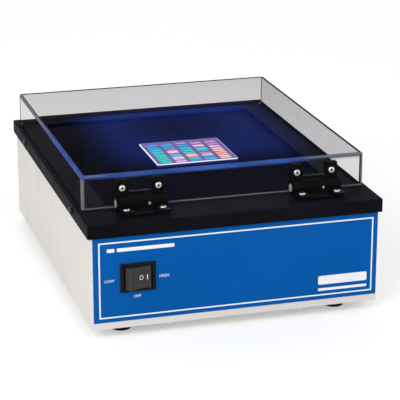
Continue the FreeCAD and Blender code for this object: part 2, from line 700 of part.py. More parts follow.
def make_switch():
    x, z = SWITCH_X, SWITCH_Z
    half_width, half_height = HOUSING_WIDTH / 2, HOUSING_HEIGHT / 2
    bezel = block(
        x - BEZEL_WIDTH / 2, x + BEZEL_WIDTH / 2, BEZEL_Y, LABEL_Y,
        z - BEZEL_HEIGHT / 2, z + BEZEL_HEIGHT / 2,
    )
    front_edges = [e for e in bezel.Edges if all(abs(v.Y - BEZEL_Y) < 1e-6 for v in e.Vertexes)]
    bezel = bezel.makeChamfer(BEZEL_THICKNESS / 3, front_edges)
    back = LABEL_Y + HOUSING_DEPTH
    housing = block(
        x - half_width, x + half_width, LABEL_Y, back, z - half_height, z + half_height
    )
    inner_x, inner_z = half_width - HOUSING_WALL, half_height - HOUSING_WALL
    hollow = block(
        x - inner_x, x + inner_x, BEZEL_Y - 1, back - 2 * HOUSING_WALL, z - inner_z, z + inner_z
    )
    pivot = rod(
        ROCKER_STUB_RADIUS + PIN_CLEARANCE, Vector(x, PIVOT_Y, z - half_height - 1), Z_AXIS,
        HOUSING_HEIGHT + 2,
    )
    keep("switch_housing", bezel.fuse(housing).cut([hollow, pivot]).removeSplitter())
    keep("switch_rocker", make_rocker(inner_z))
    blades = []
    for column in (-1, 1):
        for row in (-1, 0, 1):
            at_x, at_z = x + column * half_width / 2, z + row * half_height * 0.62
            blades.append(
                block(
                    at_x - BLADE_WIDTH / 2, at_x + BLADE_WIDTH / 2, back, back + BLADE_LENGTH,
                    at_z - BLADE_THICKNESS / 2, at_z + BLADE_THICKNESS / 2,
                )
            )
    keep("switch_blades", *blades)


def make_rocker(inner_z):
    """The rocker, tilted about its upright pivot with its right-hand side pressed in."""
    angle = math.radians(ROCKER_CORNER_ANGLE)
    corner_x, corner_y = ROCKER_RADIUS * math.cos(angle), -ROCKER_RADIUS * math.sin(angle)
    skirt_x = math.sqrt(ROCKER_RADIUS**2 - ROCKER_SKIRT**2)
    middle_angle = (angle + math.asin(ROCKER_SKIRT / ROCKER_RADIUS)) / 2
    bulge_x = ROCKER_RADIUS * math.cos(middle_angle)
    bulge_y = -ROCKER_RADIUS * math.sin(middle_angle)
    height = 2 * (inner_z - ROCKER_SIDE_CLEARANCE)

    def at(px, py):
        return Vector(px, py, -height / 2)

    edges = [
        Part.makeLine(at(-skirt_x, -ROCKER_SKIRT), at(skirt_x, -ROCKER_SKIRT)),
        Part.Arc(at(skirt_x, -ROCKER_SKIRT), at(bulge_x, bulge_y), at(corner_x, corner_y)).toShape(),
        Part.Arc(at(corner_x, corner_y), at(0, -ROCKER_VALLEY), at(-corner_x, corner_y)).toShape(),
        Part.Arc(
            at(-corner_x, corner_y), at(-bulge_x, bulge_y), at(-skirt_x, -ROCKER_SKIRT)
        ).toShape(),
    ]
    paddle = Part.Face(Part.Wire(edges)).extrude(Vector(0, 0, height))
    hub = rod(ROCKER_HUB_RADIUS, Vector(0, 0, -height / 2), Z_AXIS, height)
    reach = height / 2 + ROCKER_STUB_LENGTH + ROCKER_SIDE_CLEARANCE
    stub = rod(ROCKER_STUB_RADIUS, Vector(0, 0, -reach), Z_AXIS, 2 * reach)
    made = paddle.fuse([hub, stub]).removeSplitter()
    tilt = Rotation(Z_AXIS, ROCKER_TILT)
    made.Placement = Placement(Vector(SWITCH_X, PIVOT_Y, SWITCH_Z), tilt)
    return made


# ================================================================ lamps
def make_lamps():
    half = LAMP_LENGTH / 2
    caps = []
    for number, x in enumerate(LAMP_XS, 1):
        glass_end = half - CAP_END
        start = Vector(x, -glass_end, LAMP_Z)
        glass = rod(LAMP_RADIUS, start, Y_AXIS, 2 * glass_end)
        glass = glass.cut(rod(LAMP_RADIUS - LAMP_GLASS, start, Y_AXIS, 2 * glass_end))
        keep(f"lamp_tube_{number}", glass)
        for side in (-1, 1):
            face, inward = Vector(x, side * half, LAMP_Z), Y_AXIS * -side
            cap = rod(CAP_RADIUS, face, inward, CAP_LENGTH)
            socket = rod(LAMP_RADIUS + THREAD_CLEARANCE, face + inward * CAP_END, inward, CAP_LENGTH)
            pins = [
                rod(
                    LAMP_PIN_RADIUS, face + X_AXIS * offset + inward * (CAP_END / 2),
                    inward * -1, LAMP_PIN_LENGTH + CAP_END / 2,
                )
                for offset in (-LAMP_PIN_SPACING / 2, LAMP_PIN_SPACING / 2)
            ]
            caps.append(cap.cut(socket).fuse(pins))
    keep("lamp_caps", *caps)


def make_holders():
    """A row of lamp holders at each end, clipped to a sheet rail that stands on the floor."""
    for end, side in (("front", -1), ("rear", 1)):
        holders = []
        for x in LAMP_XS:
            near, far = side * HOLDER_FACE_Y, side * HOLDER_BACK_Y
            y0, y1 = min(near, far), max(near, far)
            low, high = LAMP_Z - HOLDER_BELOW, LAMP_Z + HOLDER_ABOVE
            body = block(x - HOLDER_WIDTH / 2, x + HOLDER_WIDTH / 2, y0, y1, low, high)
            depth = LAMP_PIN_LENGTH + HOLDER_GAP
            face = Vector(x, near, LAMP_Z)
            pocket = rod(HOLDER_POCKET_RADIUS, face - Y_AXIS * side, Y_AXIS * side, depth + 1)
            slot_ends = sorted((near - side, near + side * depth))
            slot = block(
                x - HOLDER_SLOT / 2, x + HOLDER_SLOT / 2, *slot_ends, LAMP_Z, high + 1
            )
            holders.append(body.cut([pocket, slot]))
        keep(f"{end}_lamp_holders", *holders)
        keep(f"{end}_lamp_rail", make_rail(side))


def make_rail(side):
    """An upright sheet behind the holders, on two legs with feet turned out along the floor."""
    near = side * HOLDER_BACK_Y
    far = near + side * TAB_SHEET
    y0, y1 = min(near, far), max(near, far)
    half, half_leg = RAIL_WIDTH / 2, RAIL_LEG_WIDTH / 2
    made = block(-half, half, y0, y1, LAMP_Z - RAIL_BELOW, LAMP_Z + RAIL_ABOVE)
    foot_ends = sorted((near, far + side * RAIL_FOOT))
    for x in (-RAIL_LEG_X, RAIL_LEG_X):
        made = made.fuse(block(x - half_leg, x + half_leg, y0, y1, INSIDE_Z, LAMP_Z))
        made = made.fuse(
            block(x - half_leg, x + half_leg, *foot_ends, INSIDE_Z, INSIDE_Z + TAB_SHEET)
        )
    for x, y in rail_screw_places():
        if y * side > 0:
            made = made.cut(hole(M4, Vector(x, y, INSIDE_Z - 1), Z_AXIS, TAB_SHEET + 2))
    return made.removeSplitter()


def make_reflector():
    """A bright tunnel-shaped sheet: ridges between the lamps, and a leg down each side."""
    half, sheet = REFLECTOR_WIDTH / 2, REFLECTOR_SHEET
    ridge_xs = [(a + b) / 2 for a, b in zip(LAMP_XS, LAMP_XS[1:])]
    line = [(-half, 0)]
    for x in ridge_xs:
        line += [(x - REFLECTOR_RIDGE_HALF, 0), (x, REFLECTOR_RIDGE), (x + REFLECTOR_RIDGE_HALF, 0)]
    line.append((half, 0))
    low = INSIDE_Z - REFLECTOR_Z
    foot = half + REFLECTOR_FOOT
    right = [(foot, low + sheet), (foot, low), (half - sheet, low)]
    under = [(x, z - sheet) for x, z in reversed(line[1:-1])]
    outline = (
        line + [(half, low + sheet)] + right
        + [(half - sheet, -sheet)] + under + [(-half + sheet, -sheet)]
        + [(-x, z) for x, z in reversed(right)] + [(-half, low + sheet)]
    )
    end = HOLDER_FACE_Y - REFLECTOR_END_GAP
    points = [Vector(x, -end, REFLECTOR_Z + z) for x, z in outline]
    keep("lamp_reflector", prism(points, Vector(0, 2 * end, 0)))


def make_floor_screws():
    """The screws that come up through the floor into the rails' feet and the ballasts' tabs."""
    screws, nuts = [], []
    for x, y in rail_screw_places() + ballast_screw_places():
        shank = CASE_SHEET + TAB_SHEET + M4["nut_height"] + THREAD_END
        screws.append(pan_screw(M4, Vector(x, y, FLOOR_Z), Z_AXIS * -1, shank))
        nuts.append(nut(M4, Vector(x, y, INSIDE_Z + TAB_SHEET), Z_AXIS))
    keep("floor_screws", *screws)
    keep("floor_nuts", *nuts)


# ================================================================ electrics
def make_ballasts():
    for name, x in (("left", -BALLAST_X), ("right", BALLAST_X)):
        half, end = BALLAST_WIDTH / 2, BALLAST_LENGTH / 2
        can = rounded_block(
            x - half, x + half, -end, end, INSIDE_Z, INSIDE_Z + BALLAST_HEIGHT, 2.0
        )
        reach = end + BALLAST_TAB
        tab = block(x - half / 2, x + half / 2, -reach, reach, INSIDE_Z, INSIDE_Z + TAB_SHEET)
        made = can.fuse(tab)
        for at_x, at_y in ballast_screw_places():
            made = made.cut(hole(M4, Vector(at_x, at_y, INSIDE_Z - 1), Z_AXIS, TAB_SHEET + 2))
        keep(f"ballast_{name}", made)

def make_terminal_block():
    half_width, half_length = BLOCK_WIDTH / 2, BLOCK_LENGTH / 2
    top = INSIDE_Z + BLOCK_HEIGHT
    body = block(BLOCK_X - half_width, BLOCK_X + half_width, -half_length, half_length, INSIDE_Z, top)
    pitch = BLOCK_LENGTH / BLOCK_WAYS
    screws = []
    for k in range(BLOCK_WAYS):
        y = pitch * (k - (BLOCK_WAYS - 1) / 2)
        for x in (BLOCK_X - half_width / 2, BLOCK_X + half_width / 2):
            well = rod(BLOCK_SCREW_RADIUS, Vector(x, y, top - 6), Z_AXIS, 7)
            body = body.cut(well)
            screw = rod(BLOCK_SCREW_RADIUS - THREAD_CLEARANCE, Vector(x, y, top - 6), Z_AXIS, 3)
            slot = block(
                x - BLOCK_SCREW_RADIUS, x + BLOCK_SCREW_RADIUS, y - 0.4, y + 0.4, top - 3.8, top
            )
            screws.append(screw.cut(slot))
    keep("terminal_block", body)
    keep("terminal_screws", *screws)


def make_cables():
    """The wiring inside the box, each cable one flexible run from fitting to fitting."""
    lead_z = INSIDE_Z + CABLE_RADIUS + 5
    block_end, lead = BLOCK_LENGTH / 2, 32
    for name, fitting in (
        ("switch_cable", Vector(SWITCH_X, LABEL_Y + HOUSING_DEPTH, SWITCH_Z)),
        ("inlet_cable", Vector(INLET_X, REAR_Y - INLET_BODY_DEPTH, INLET_Z)),
    ):
        side = math.copysign(1, fitting.y)
        keep(name, tube([
            fitting,
            fitting - Y_AXIS * (side * lead),
            Vector(BLOCK_X, side * (block_end + lead), lead_z),
            Vector(BLOCK_X, side * block_end, lead_z),
        ], CABLE_RADIUS))
    block_side = BLOCK_X + BLOCK_WIDTH / 2
    link = BALLAST_X - BALLAST_WIDTH / 2
    link_start = Vector(block_side, 0, lead_z)
    link_length = BALLAST_X * -1 - BALLAST_WIDTH / 2 - block_side
    keep("ballast_cable_left", rod(CABLE_RADIUS, link_start, X_AXIS, link_length))
    keep("ballast_cable_right", tube([
        Vector(-link, -link / 4, lead_z), Vector(-link / 2, -link / 4, lead_z),
        Vector(link / 2, link / 4, lead_z), Vector(link, link / 4, lead_z),
    ], CABLE_RADIUS))
    runs = []
    holder_x, holder_y = LAMP_XS[-2], HOLDER_FACE_Y + HOLDER_THICKNESS / 2
    low, high = INSIDE_Z + BALLAST_HEIGHT / 2, LAMP_Z - HOLDER_BELOW
    for side in (-1, 1):
        start = side * BALLAST_LENGTH / 2
        runs.append(tube([
            Vector(BALLAST_X, start, low),
            Vector(BALLAST_X, start + side * 26, low),
            Vector(holder_x, side * holder_y, high - 26),
            Vector(holder_x, side * holder_y, high),
        ], CABLE_RADIUS))
    keep("lamp_cables", *runs)


# ================================================================ mains inlet
def make_inlet():
    x, z = INLET_X, INLET_Z
    half_width, half_height = INLET_FLANGE_WIDTH / 2, INLET_FLANGE_HEIGHT / 2
    flange = block(
        x - half_width, x + half_width, REAR_Y, INLET_FACE_Y, z - half_height, z + half_height
    )
    sides = [e for e in flange.Edges if abs(e.tangentAt(e.FirstParameter).y) > 0.99]
    flange = flange.makeFillet(3.0, sides)
    body_x, body_z = INLET_BODY_WIDTH / 2, INLET_BODY_HEIGHT / 2
    back = REAR_Y - INLET_BODY_DEPTH
    body = block(x - body_x, x + body_x, back, REAR_Y, z - body_z, z + body_z)
    socket_z = z + SOCKET_RISE
    socket = socket_outline(x, socket_z)
    drawer_x = DRAWER_WIDTH / 2 + DRAWER_CLEARANCE
    drawer_z = DRAWER_HEIGHT / 2 + DRAWER_CLEARANCE
    bay = block(
        x - drawer_x, x + drawer_x, INLET_FACE_Y - DRAWER_DEPTH - DRAWER_CLEARANCE,
        INLET_FACE_Y + 1, DRAWER_Z - drawer_z, DRAWER_Z + drawer_z,
    )
    holes = [
        hole(M3, Vector(at, INLET_FACE_Y + 1, z), Y_AXIS * -1, INLET_FLANGE + 2)
        for at in inlet_screw_places()
    ]
    keep("power_inlet", flange.fuse(body).cut([socket, bay, *holes]).removeSplitter())
    make_inlet_pins(socket_z, back)
    screws, nuts = [], []
    for at in inlet_screw_places():
        shank = INLET_FLANGE + CASE_SHEET + M3["nut_height"] + THREAD_END
        screws.append(pan_screw(M3, Vector(at, INLET_FACE_Y, z), Y_AXIS, shank))
        nuts.append(nut(M3, Vector(at, REAR_Y - CASE_SHEET, z), Y_AXIS * -1))
    keep("inlet_screws", *screws)
    keep("inlet_nuts", *nuts)


def socket_outline(x, z):
    """The inlet's cavity: a rectangle with its two upper corners cut off."""
    half_width, half_height, cut = SOCKET_WIDTH / 2, SOCKET_HEIGHT / 2, SOCKET_CHAMFER
    outline = [
        (-half_width, -half_height), (half_width, -half_height), (half_width, half_height - cut),
        (half_width - cut, half_height), (-half_width + cut, half_height),
        (-half_width, half_height - cut),
    ]
    floor = INLET_FACE_Y - SOCKET_DEPTH
    points = [Vector(x + u, floor, z + v) for u, v in outline]
    return prism(points, Vector(0, SOCKET_DEPTH + 1, 0))


def make_inlet_pins(socket_z, back):
    """Three contact blades in the cavity, and their tails behind the body."""
    floor = INLET_FACE_Y - SOCKET_DEPTH
    blades = []
    half_pitch = SOCKET_PIN_SPACING / 2
    low = -SOCKET_EARTH_RISE / 2
    for offset, rise in ((-half_pitch, low), (0, SOCKET_EARTH_RISE), (half_pitch, low)):
        at_x, at_z = INLET_X + offset, socket_z + rise
        half_width, half_height = SOCKET_PIN_WIDTH / 2, SOCKET_PIN_HEIGHT / 2
        pin = block(
            at_x - half_width, at_x + half_width, floor, floor + SOCKET_PIN_LENGTH,
            at_z - half_height, at_z + half_height,
        )
        blades.append(pin)
        tail = block(
            at_x - BLADE_THICKNESS / 2, at_x + BLADE_THICKNESS / 2, back - BLADE_LENGTH, back,
            at_z - BLADE_WIDTH / 2, at_z + BLADE_WIDTH / 2,
        )
        blades.append(tail)
    keep("inlet_pins", *blades)


def make_fuse_drawer():
    x, front = INLET_X, INLET_FACE_Y
    half_width, half_height = DRAWER_WIDTH / 2, DRAWER_HEIGHT / 2
    tray = block(
        x - half_width, x + half_width, front - DRAWER_DEPTH, front,
        DRAWER_Z - half_height, DRAWER_Z + half_height,
    )
    lap = DRAWER_LIP_OVERLAP
    lip = block(
        x - half_width - lap, x + half_width + lap, front, front + DRAWER_LIP,
        DRAWER_Z - half_height - lap, DRAWER_Z + half_height + lap,
    )
    fuse_y = front - DRAWER_DEPTH / 2
    fuse_z = DRAWER_Z
    half = FUSE_LENGTH / 2
    cradle = rod(
        FUSE_RADIUS + 2 * THREAD_CLEARANCE, Vector(x - half - 0.5, fuse_y, fuse_z), X_AXIS,
        FUSE_LENGTH + 1,
    )
    well = block(
        x - half - 0.5, x + half + 0.5, fuse_y - FUSE_RADIUS, fuse_y + FUSE_RADIUS,
        fuse_z, DRAWER_Z + half_height + 1,
    )
    grip = rod(2.5, Vector(x, front + DRAWER_LIP + 1.2, DRAWER_Z - 2), Z_AXIS, 4)
    keep("fuse_drawer", tray.fuse(lip).cut([cradle, well, grip]).removeSplitter())
    glass_start = Vector(x - half + FUSE_CAP, fuse_y, fuse_z)
    glass = rod(FUSE_RADIUS * 0.92, glass_start, X_AXIS, FUSE_LENGTH - 2 * FUSE_CAP)
    keep("fuse_glass", glass)
    ends = [
        rod(FUSE_RADIUS, Vector(start, fuse_y, fuse_z), X_AXIS, FUSE_CAP)
        for start in (x - half, x + half - FUSE_CAP)
    ]
    keep("fuse_caps", *ends)


# ================================================================ gel
def make_gel():
    half_width, half_depth = GEL_WIDTH / 2, GEL_DEPTH / 2
    keep("gel_slab", rounded_block(
        GEL_X - half_width, GEL_X + half_width, GEL_Y - half_depth, GEL_Y + half_depth,
        FILTER_TOP_Z, FILTER_TOP_Z + GEL_THICKNESS, GEL_CORNER,
    ))


def main():
    make_case()
    make_feet()
    make_top()
    make_side_screws()
    make_filter()
    make_cover()
    make_hinges()
    make_label()
    make_switch()
    make_lamps()
    make_holders()
    make_reflector()
    make_ballasts()
    make_floor_screws()
    make_terminal_block()
    make_cables()
    make_inlet()
    make_fuse_drawer()
    make_gel()
    os.makedirs("parts", exist_ok=True)
    for name, shape in NODES.items():
        shape.exportStep(os.path.join("parts", name + ".step"))
        state = "valid" if shape.isValid() else "NOT VALID"
        print(f"{name}: {len(shape.Solids)} solids, {shape.Volume:.0f} mm3, {state}")
    print(len(NODES), "nodes")


main()
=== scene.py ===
# %% [markdown]
# # A bench ultraviolet lamp box
# This is a steel box with tube lamps inside, a dark filter window in its black top, and a clear
# cover that keeps the ultraviolet light in. A stained gel glows on the window. The shapes of the
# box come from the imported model, so this lesson is mostly about finishes: powder coat, clear
# acrylic, a glowing gel, a printed label, black moulded hinges and bright screws.

import math

import bmesh
import bpy
from mathutils import Matrix, Vector


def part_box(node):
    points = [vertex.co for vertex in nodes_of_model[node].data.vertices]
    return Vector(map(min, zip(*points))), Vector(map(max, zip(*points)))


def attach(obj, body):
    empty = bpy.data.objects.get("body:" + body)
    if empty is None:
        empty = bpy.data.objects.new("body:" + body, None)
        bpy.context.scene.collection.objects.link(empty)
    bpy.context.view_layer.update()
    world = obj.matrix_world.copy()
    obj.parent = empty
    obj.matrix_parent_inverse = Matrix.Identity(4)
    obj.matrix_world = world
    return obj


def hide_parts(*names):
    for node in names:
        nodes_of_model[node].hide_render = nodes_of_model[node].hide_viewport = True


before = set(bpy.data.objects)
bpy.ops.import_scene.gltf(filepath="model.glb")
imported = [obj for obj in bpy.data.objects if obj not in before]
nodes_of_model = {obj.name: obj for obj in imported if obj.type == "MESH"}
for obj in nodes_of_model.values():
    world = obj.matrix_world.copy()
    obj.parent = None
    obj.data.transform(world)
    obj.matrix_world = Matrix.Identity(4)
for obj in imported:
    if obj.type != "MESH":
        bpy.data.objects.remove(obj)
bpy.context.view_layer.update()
print("pieces in the model:", len(nodes_of_model))

# %% [markdown]
# The camera comes first, because every later choice is judged through it. It stands to the
# left of the front face and looks down a little, from far enough away that the box's edges
# nearly stay parallel. A long lens does that. A near camera with a short lens would also fill
# the frame, but it would splay the box.

# %% Camera
AZIMUTH, ELEVATION = math.radians(-16.243), math.radians(18.430)
TARGET = Vector((0.01519, 0.0, 0.06018))
DISTANCE = 1.6488
back = Vector((
    math.sin(AZIMUTH) * math.cos(ELEVATION),
    -math.cos(AZIMUTH) * math.cos(ELEVATION),
    math.sin(ELEVATION),
))
camera_data = bpy.data.cameras.new("camera")
camera_data.lens = 155.32
camera_data.sensor_width = 36.0
camera_data.clip_end = 50.0
camera = bpy.data.objects.new("camera", camera_data)
bpy.context.scene.collection.objects.link(camera)
camera.location = TARGET + back * DISTANCE
camera.rotation_euler = (-back).to_track_quat("-Z", "Y").to_euler()
bpy.context.scene.camera = camera
print("camera at", [round(v, 3) for v in camera.location])

# %% [markdown]
# The box stands on a large pale sheet, like studio paper. A paper white enough to vanish would
# need strong light, and that would bleach the box too. So the sheet's own surface takes light
# like paper and keeps the box's soft shadow, and a little white is added to it for rays that
# look at the surround: from the camera, through clear plastic, or off something shiny.

# %% Floor
FLOOR_SIZE = 30.0
FLOOR_LIFT = 0.34
WHITE = (1.0, 1.0, 1.0, 1.0)


def background_rays(tree):
    """1 for rays that look at the surround: from the camera, or through or off a surface."""
    rays = tree.nodes.new("ShaderNodeLightPath")
    result = rays.outputs["Is Camera Ray"]
    for kind in ("Is Transmission Ray", "Is Glossy Ray"):
        larger = tree.nodes.new("ShaderNodeMath")
        larger.operation = "MAXIMUM"
        tree.links.new(result, larger.inputs[0])
        tree.links.new(rays.outputs[kind], larger.inputs[1])
        result = larger.outputs[0]
    return result


form = bmesh.new()
bmesh.ops.create_grid(form, x_segments=1, y_segments=1, size=FLOOR_SIZE / 2)
floor_mesh = bpy.data.meshes.new("floor")
form.to_mesh(floor_mesh)
form.free()
floor = bpy.data.objects.new("floor", floor_mesh)
bpy.context.scene.collection.objects.link(floor)
floor_paint = bpy.data.materials.new("floor_paint")
floor_paint.use_nodes = True
tree = floor_paint.node_tree
tree.nodes.clear()
out = tree.nodes.new("ShaderNodeOutputMaterial")
paper = tree.nodes.new("ShaderNodeBsdfDiffuse")
paper.inputs["Color"].default_value = (0.80, 0.80, 0.80, 1.0)
lift = tree.nodes.new("ShaderNodeEmission")
lift.inputs["Color"].default_value = WHITE
level = tree.nodes.new("ShaderNodeMath")
level.operation = "MULTIPLY"
level.inputs[1].default_value = FLOOR_LIFT
tree.links.new(background_rays(tree), level.inputs[0])
tree.links.new(level.outputs[0], lift.inputs["Strength"])
both = tree.nodes.new("ShaderNodeAddShader")
tree.links.new(paper.outputs[0], both.inputs[0])
tree.links.new(lift.outputs[0], both.inputs[1])
tree.links.new(both.outputs[0], out.inputs["Surface"])
floor_mesh.materials.append(floor_paint)
print("floor", FLOOR_SIZE, "m square")

# %% [markdown]
# The surround is plain white wherever it is looked at, and dimmer where it only lights the
# box. One strength for both would either grey the background or flatten the box's shading.

# %% Surround
DIM, FULL = 0.55, 1.0
world = bpy.data.worlds.new("surround")
bpy.context.scene.world = world
world.use_nodes = True
tree = world.node_tree
tree.nodes.clear()
out = tree.nodes.new("ShaderNodeOutputWorld")
sky = tree.nodes.new("ShaderNodeBackground")
sky.inputs["Color"].default_value = WHITE
strength = tree.nodes.new("ShaderNodeMapRange")
strength.inputs["To Min"].default_value = DIM
strength.inputs["To Max"].default_value = FULL
tree.links.new(background_rays(tree), strength.inputs["Value"])
tree.links.new(strength.outputs[0], sky.inputs["Strength"])
tree.links.new(sky.outputs[0], out.inputs["Surface"])
print("surround gives", DIM, "as light and", FULL, "to the eye")

# %% [markdown]
# Three large soft lamps do the rest: one near on the left for shape, a weaker one on the right,
# and one behind that lights the cover's edges. Together with the surround they make a colour
# come out about as it is written. A sun would give hard shadows that a light tent doesn't.

# %% Lamps
AIM = Vector((0.0, 0.0, 0.06))
LAMPS = {
    "key_lamp": ((-1.25, -1.15, 1.05), 1.1, 18.5),
    "fill_lamp": ((2.0, -1.3, 1.3), 1.4, 12.0),
    "rear_lamp": ((0.4, 2.2, 1.9), 1.4, 10.0),
}
for name, (place, size, power) in LAMPS.items():
    data = bpy.data.lights.new(name, "AREA")
    data.shape = "SQUARE"
    data.size = size
    data.energy = power
    lamp = bpy.data.objects.new(name, data)
    bpy.context.scene.collection.objects.link(lamp)
    lamp.location = place
    lamp.rotation_euler = (Vector(place) - AIM).to_track_quat("Z", "Y").to_euler()
bpy.context.scene.view_settings.view_transform = "Standard"
print("lamps:", ", ".join(LAMPS))

# %% [markdown]
# Every finish here is a node tree on the object's own coordinates, in metres, so a grain keeps
# its size on every piece. A small class keeps the tree, its shader and the few helpers that
# most finishes share: two close colours mixed by cloudy noise, a roughness that wanders a
# little, and a fine grain that tilts the surface. Picture textures would be quicker to start
# with, but they would not follow the piece when its size changes.

# %% The finish helper
class Finish:
    """One material, and the helpers that build it up."""

    def __init__(self, name, roughness=0.5, metallic=0.0):
        self.material = bpy.data.materials.new(name)
        self.material.use_nodes = True
        self.tree = self.material.node_tree
        self.shader = self.tree.nodes["Principled BSDF"]
        self.shader.inputs["Metallic"].default_value = metallic
        self.shader.inputs["Roughness"].default_value = roughness
        self.coordinates = self.add("ShaderNodeTexCoord").outputs["Object"]
        self.parted = None

    def add(self, kind, **settings):
        node = self.tree.nodes.new(kind)
        for key, value in settings.items():
            setattr(node, key, value)
        return node

    def join(self, source, target):
        self.tree.links.new(source, target)

    def feed(self, value, target):
        """Joins a socket, or writes a number."""
        if isinstance(value, (int, float)):
            target.default_value = value
        else:
            self.join(value, target)

    def math(self, operation, a, b=0.0, clamp=False):
        node = self.add("ShaderNodeMath", operation=operation, use_clamp=clamp)
        self.feed(a, node.inputs[0])
        self.feed(b, node.inputs[1])
        return node.outputs[0]

    def axis(self, letter):
        """The object's X, Y or Z, in metres."""
        if self.parted is None:
            self.parted = self.add("ShaderNodeSeparateXYZ")
            self.join(self.coordinates, self.parted.inputs[0])
        return self.parted.outputs[letter]

    def noise(self, scale, detail=2.0, stretch=(1.0, 1.0, 1.0)):
        place = self.add("ShaderNodeMapping")
        self.join(self.coordinates, place.inputs["Vector"])
        place.inputs["Scale"].default_value = stretch
        node = self.add("ShaderNodeTexNoise")
        node.inputs["Scale"].default_value = scale
        node.inputs["Detail"].default_value = detail
        self.join(place.outputs[0], node.inputs["Vector"])
        return node.outputs["Fac"]

    def span(self, value, low, high, to_low, to_high, smooth=False):
        """Carries a value from one span to another, and holds it there."""
        node = self.add("ShaderNodeMapRange")
        node.interpolation_type = "SMOOTHSTEP" if smooth else "LINEAR"
        self.feed(value, node.inputs["Value"])
        for key, number in (
            ("From Min", low), ("From Max", high), ("To Min", to_low), ("To Max", to_high)
        ):
            self.feed(number, node.inputs[key])
        return node.outputs[0]

    def mix(self, factor, first, second):
        """Mixes two colours, each a socket or three numbers."""
        node = self.add("ShaderNodeMix", data_type="RGBA")
        self.feed(factor, node.inputs["Factor"])
        for socket, colour in ((node.inputs[6], first), (node.inputs[7], second)):
            if isinstance(colour, tuple):
                socket.default_value = (*colour, 1.0)
            else:
                self.join(colour, socket)
        return node.outputs[2]

    def colour(self, value):
        self.join(value, self.shader.inputs["Base Color"])
        return self

    def clouds(self, first, second, scale):
        """Two close colours that drift into each other."""
        drift = self.span(self.noise(scale, 4.0), 0.35, 0.65, 0.0, 1.0)
        return self.mix(drift, first, second)

    def sheen(self, low, high, scale, stretch=(1.0, 1.0, 1.0)):
        """A roughness that wanders between two values."""
        drift = self.noise(scale, 3.0, stretch)
        self.join(self.span(drift, 0.3, 0.7, low, high), self.shader.inputs["Roughness"])
        return self

    def grain(self, scale, strength, depth, stretch=(1.0, 1.0, 1.0)):
        """A fine relief. The depth is in metres."""
        bump = self.add("ShaderNodeBump")
        bump.inputs["Strength"].default_value = strength
        bump.inputs["Distance"].default_value = depth
        self.join(self.noise(scale, 2.0, stretch), bump.inputs["Height"])
        self.join(bump.outputs["Normal"], self.shader.inputs["Normal"])
        return self

    def glow(self, colour, strength):
        if isinstance(colour, tuple):
            self.shader.inputs["Emission Color"].default_value = (*colour, 1.0)
        else:
            self.join(colour, self.shader.inputs["Emission Color"])
        self.feed(strength, self.shader.inputs["Emission Strength"])
        return self

    def wear(self, names):
        """Puts this finish on nodes of the model."""
        for name in names:
            mesh = nodes_of_model[name].data
            mesh.materials.clear()
            mesh.materials.append(self.material)
        return self


print("a finish has", len([word for word in dir(Finish) if word[0] != "_"]), "helpers")

# %% [markdown]
# Shaders work in amounts of light, where half the number is half the light. Colours picked from
# a swatch come as 0 to 255 on a curve made for screens, so they are turned into light first.
# Typing the swatch's numbers straight in would wash every paint out.

# %% Swatch colours


def linear(red, green, blue):
    """Turns a swatch colour of 0 to 255 into the light it stands for."""
    made = []
    for part in (red, green, blue):
        share = part / 255.0
        made.append(share / 12.92 if share <= 0.04045 else ((share + 0.055) / 1.055) ** 2.4)
    return tuple(made)


print("middle grey, 128, is", round(linear(128, 128, 128)[0], 3), "of the light")

# %% [markdown]
# The window is a dark violet filter that lets ultraviolet through and little else, so the lit
# lamps show only as a soft navy bloom. It washes over the black paint round the window too,
# which hides the window's edge. The bloom is drawn once, as a product of four smooth steps, one
# from each side, less a dimmer patch near the back, and it is worn by the glass and by the
# top's upward face. Real lamps behind real dark glass would look the same after a very long
# render.

# %% Bloom and filter glass
low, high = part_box("filter_glass")
window_x, window_y = (low.x + high.x) / 2, (low.y + high.y) / 2
BLOOM = (0.0075, 0.0200, 0.140)
BLOOM_DEEP = (0.006, 0.015, 0.095)


def hill(finish, centre_x, centre_y, reach_x, reach_y):
    """A soft round hill, 1 at its centre and 0 beyond its reach."""
    across = finish.math("DIVIDE", finish.math("SUBTRACT", finish.axis("X"), centre_x), reach_x)
    along = finish.math("DIVIDE", finish.math("SUBTRACT", finish.axis("Y"), centre_y), reach_y)
    square = finish.math("ADD", finish.math("MULTIPLY", across, across),
                         finish.math("MULTIPLY", along, along))
    return finish.math("POWER", finish.math("SUBTRACT", 1.0, square, clamp=True), 1.4)


def bloom_on(finish):
    """The lamps' wash of light over the window and the paint round it."""
    x, y = finish.axis("X"), finish.axis("Y")
    left = finish.span(x, window_x - 0.094, window_x - 0.034, 0.02, 1.0, smooth=True)
    right = finish.span(x, window_x + 0.084, window_x + 0.140, 1.0, 0.05, smooth=True)
    front = finish.span(y, window_y - 0.060, window_y + 0.018, 0.03, 1.0, smooth=True)
    rear = finish.span(y, window_y + 0.142, window_y + 0.160, 1.0, 0.05, smooth=True)
    wash = finish.math("MULTIPLY", finish.math("MULTIPLY", left, right),
                       finish.math("MULTIPLY", front, rear))
    dim = finish.math("MULTIPLY", hill(finish, window_x + 0.022, window_y + 0.092, 0.070, 0.062),
                      0.52)
    drift = finish.span(finish.noise(7.0, 1.0), 0.3, 0.7, 0.93, 1.05)
    return finish.math("MULTIPLY", finish.math("MULTIPLY", wash, drift),
                       finish.math("SUBTRACT", 1.0, dim))


filter_glass = Finish("filter_glass_violet", roughness=0.12)
filter_glass.shader.inputs["Specular IOR Level"].default_value = 0.001
filter_glass.colour(filter_glass.clouds((0.0025, 0.0025, 0.006), (0.0035, 0.0035, 0.008), 12.0))
filter_glass.grain(25.0, 0.03, 0.0002)
bloom = bloom_on(filter_glass)
filter_glass.glow(filter_glass.mix(bloom, BLOOM_DEEP, BLOOM), bloom)
filter_glass.wear(["filter_glass"])
print("window", round(high.x - low.x, 3), "m wide")

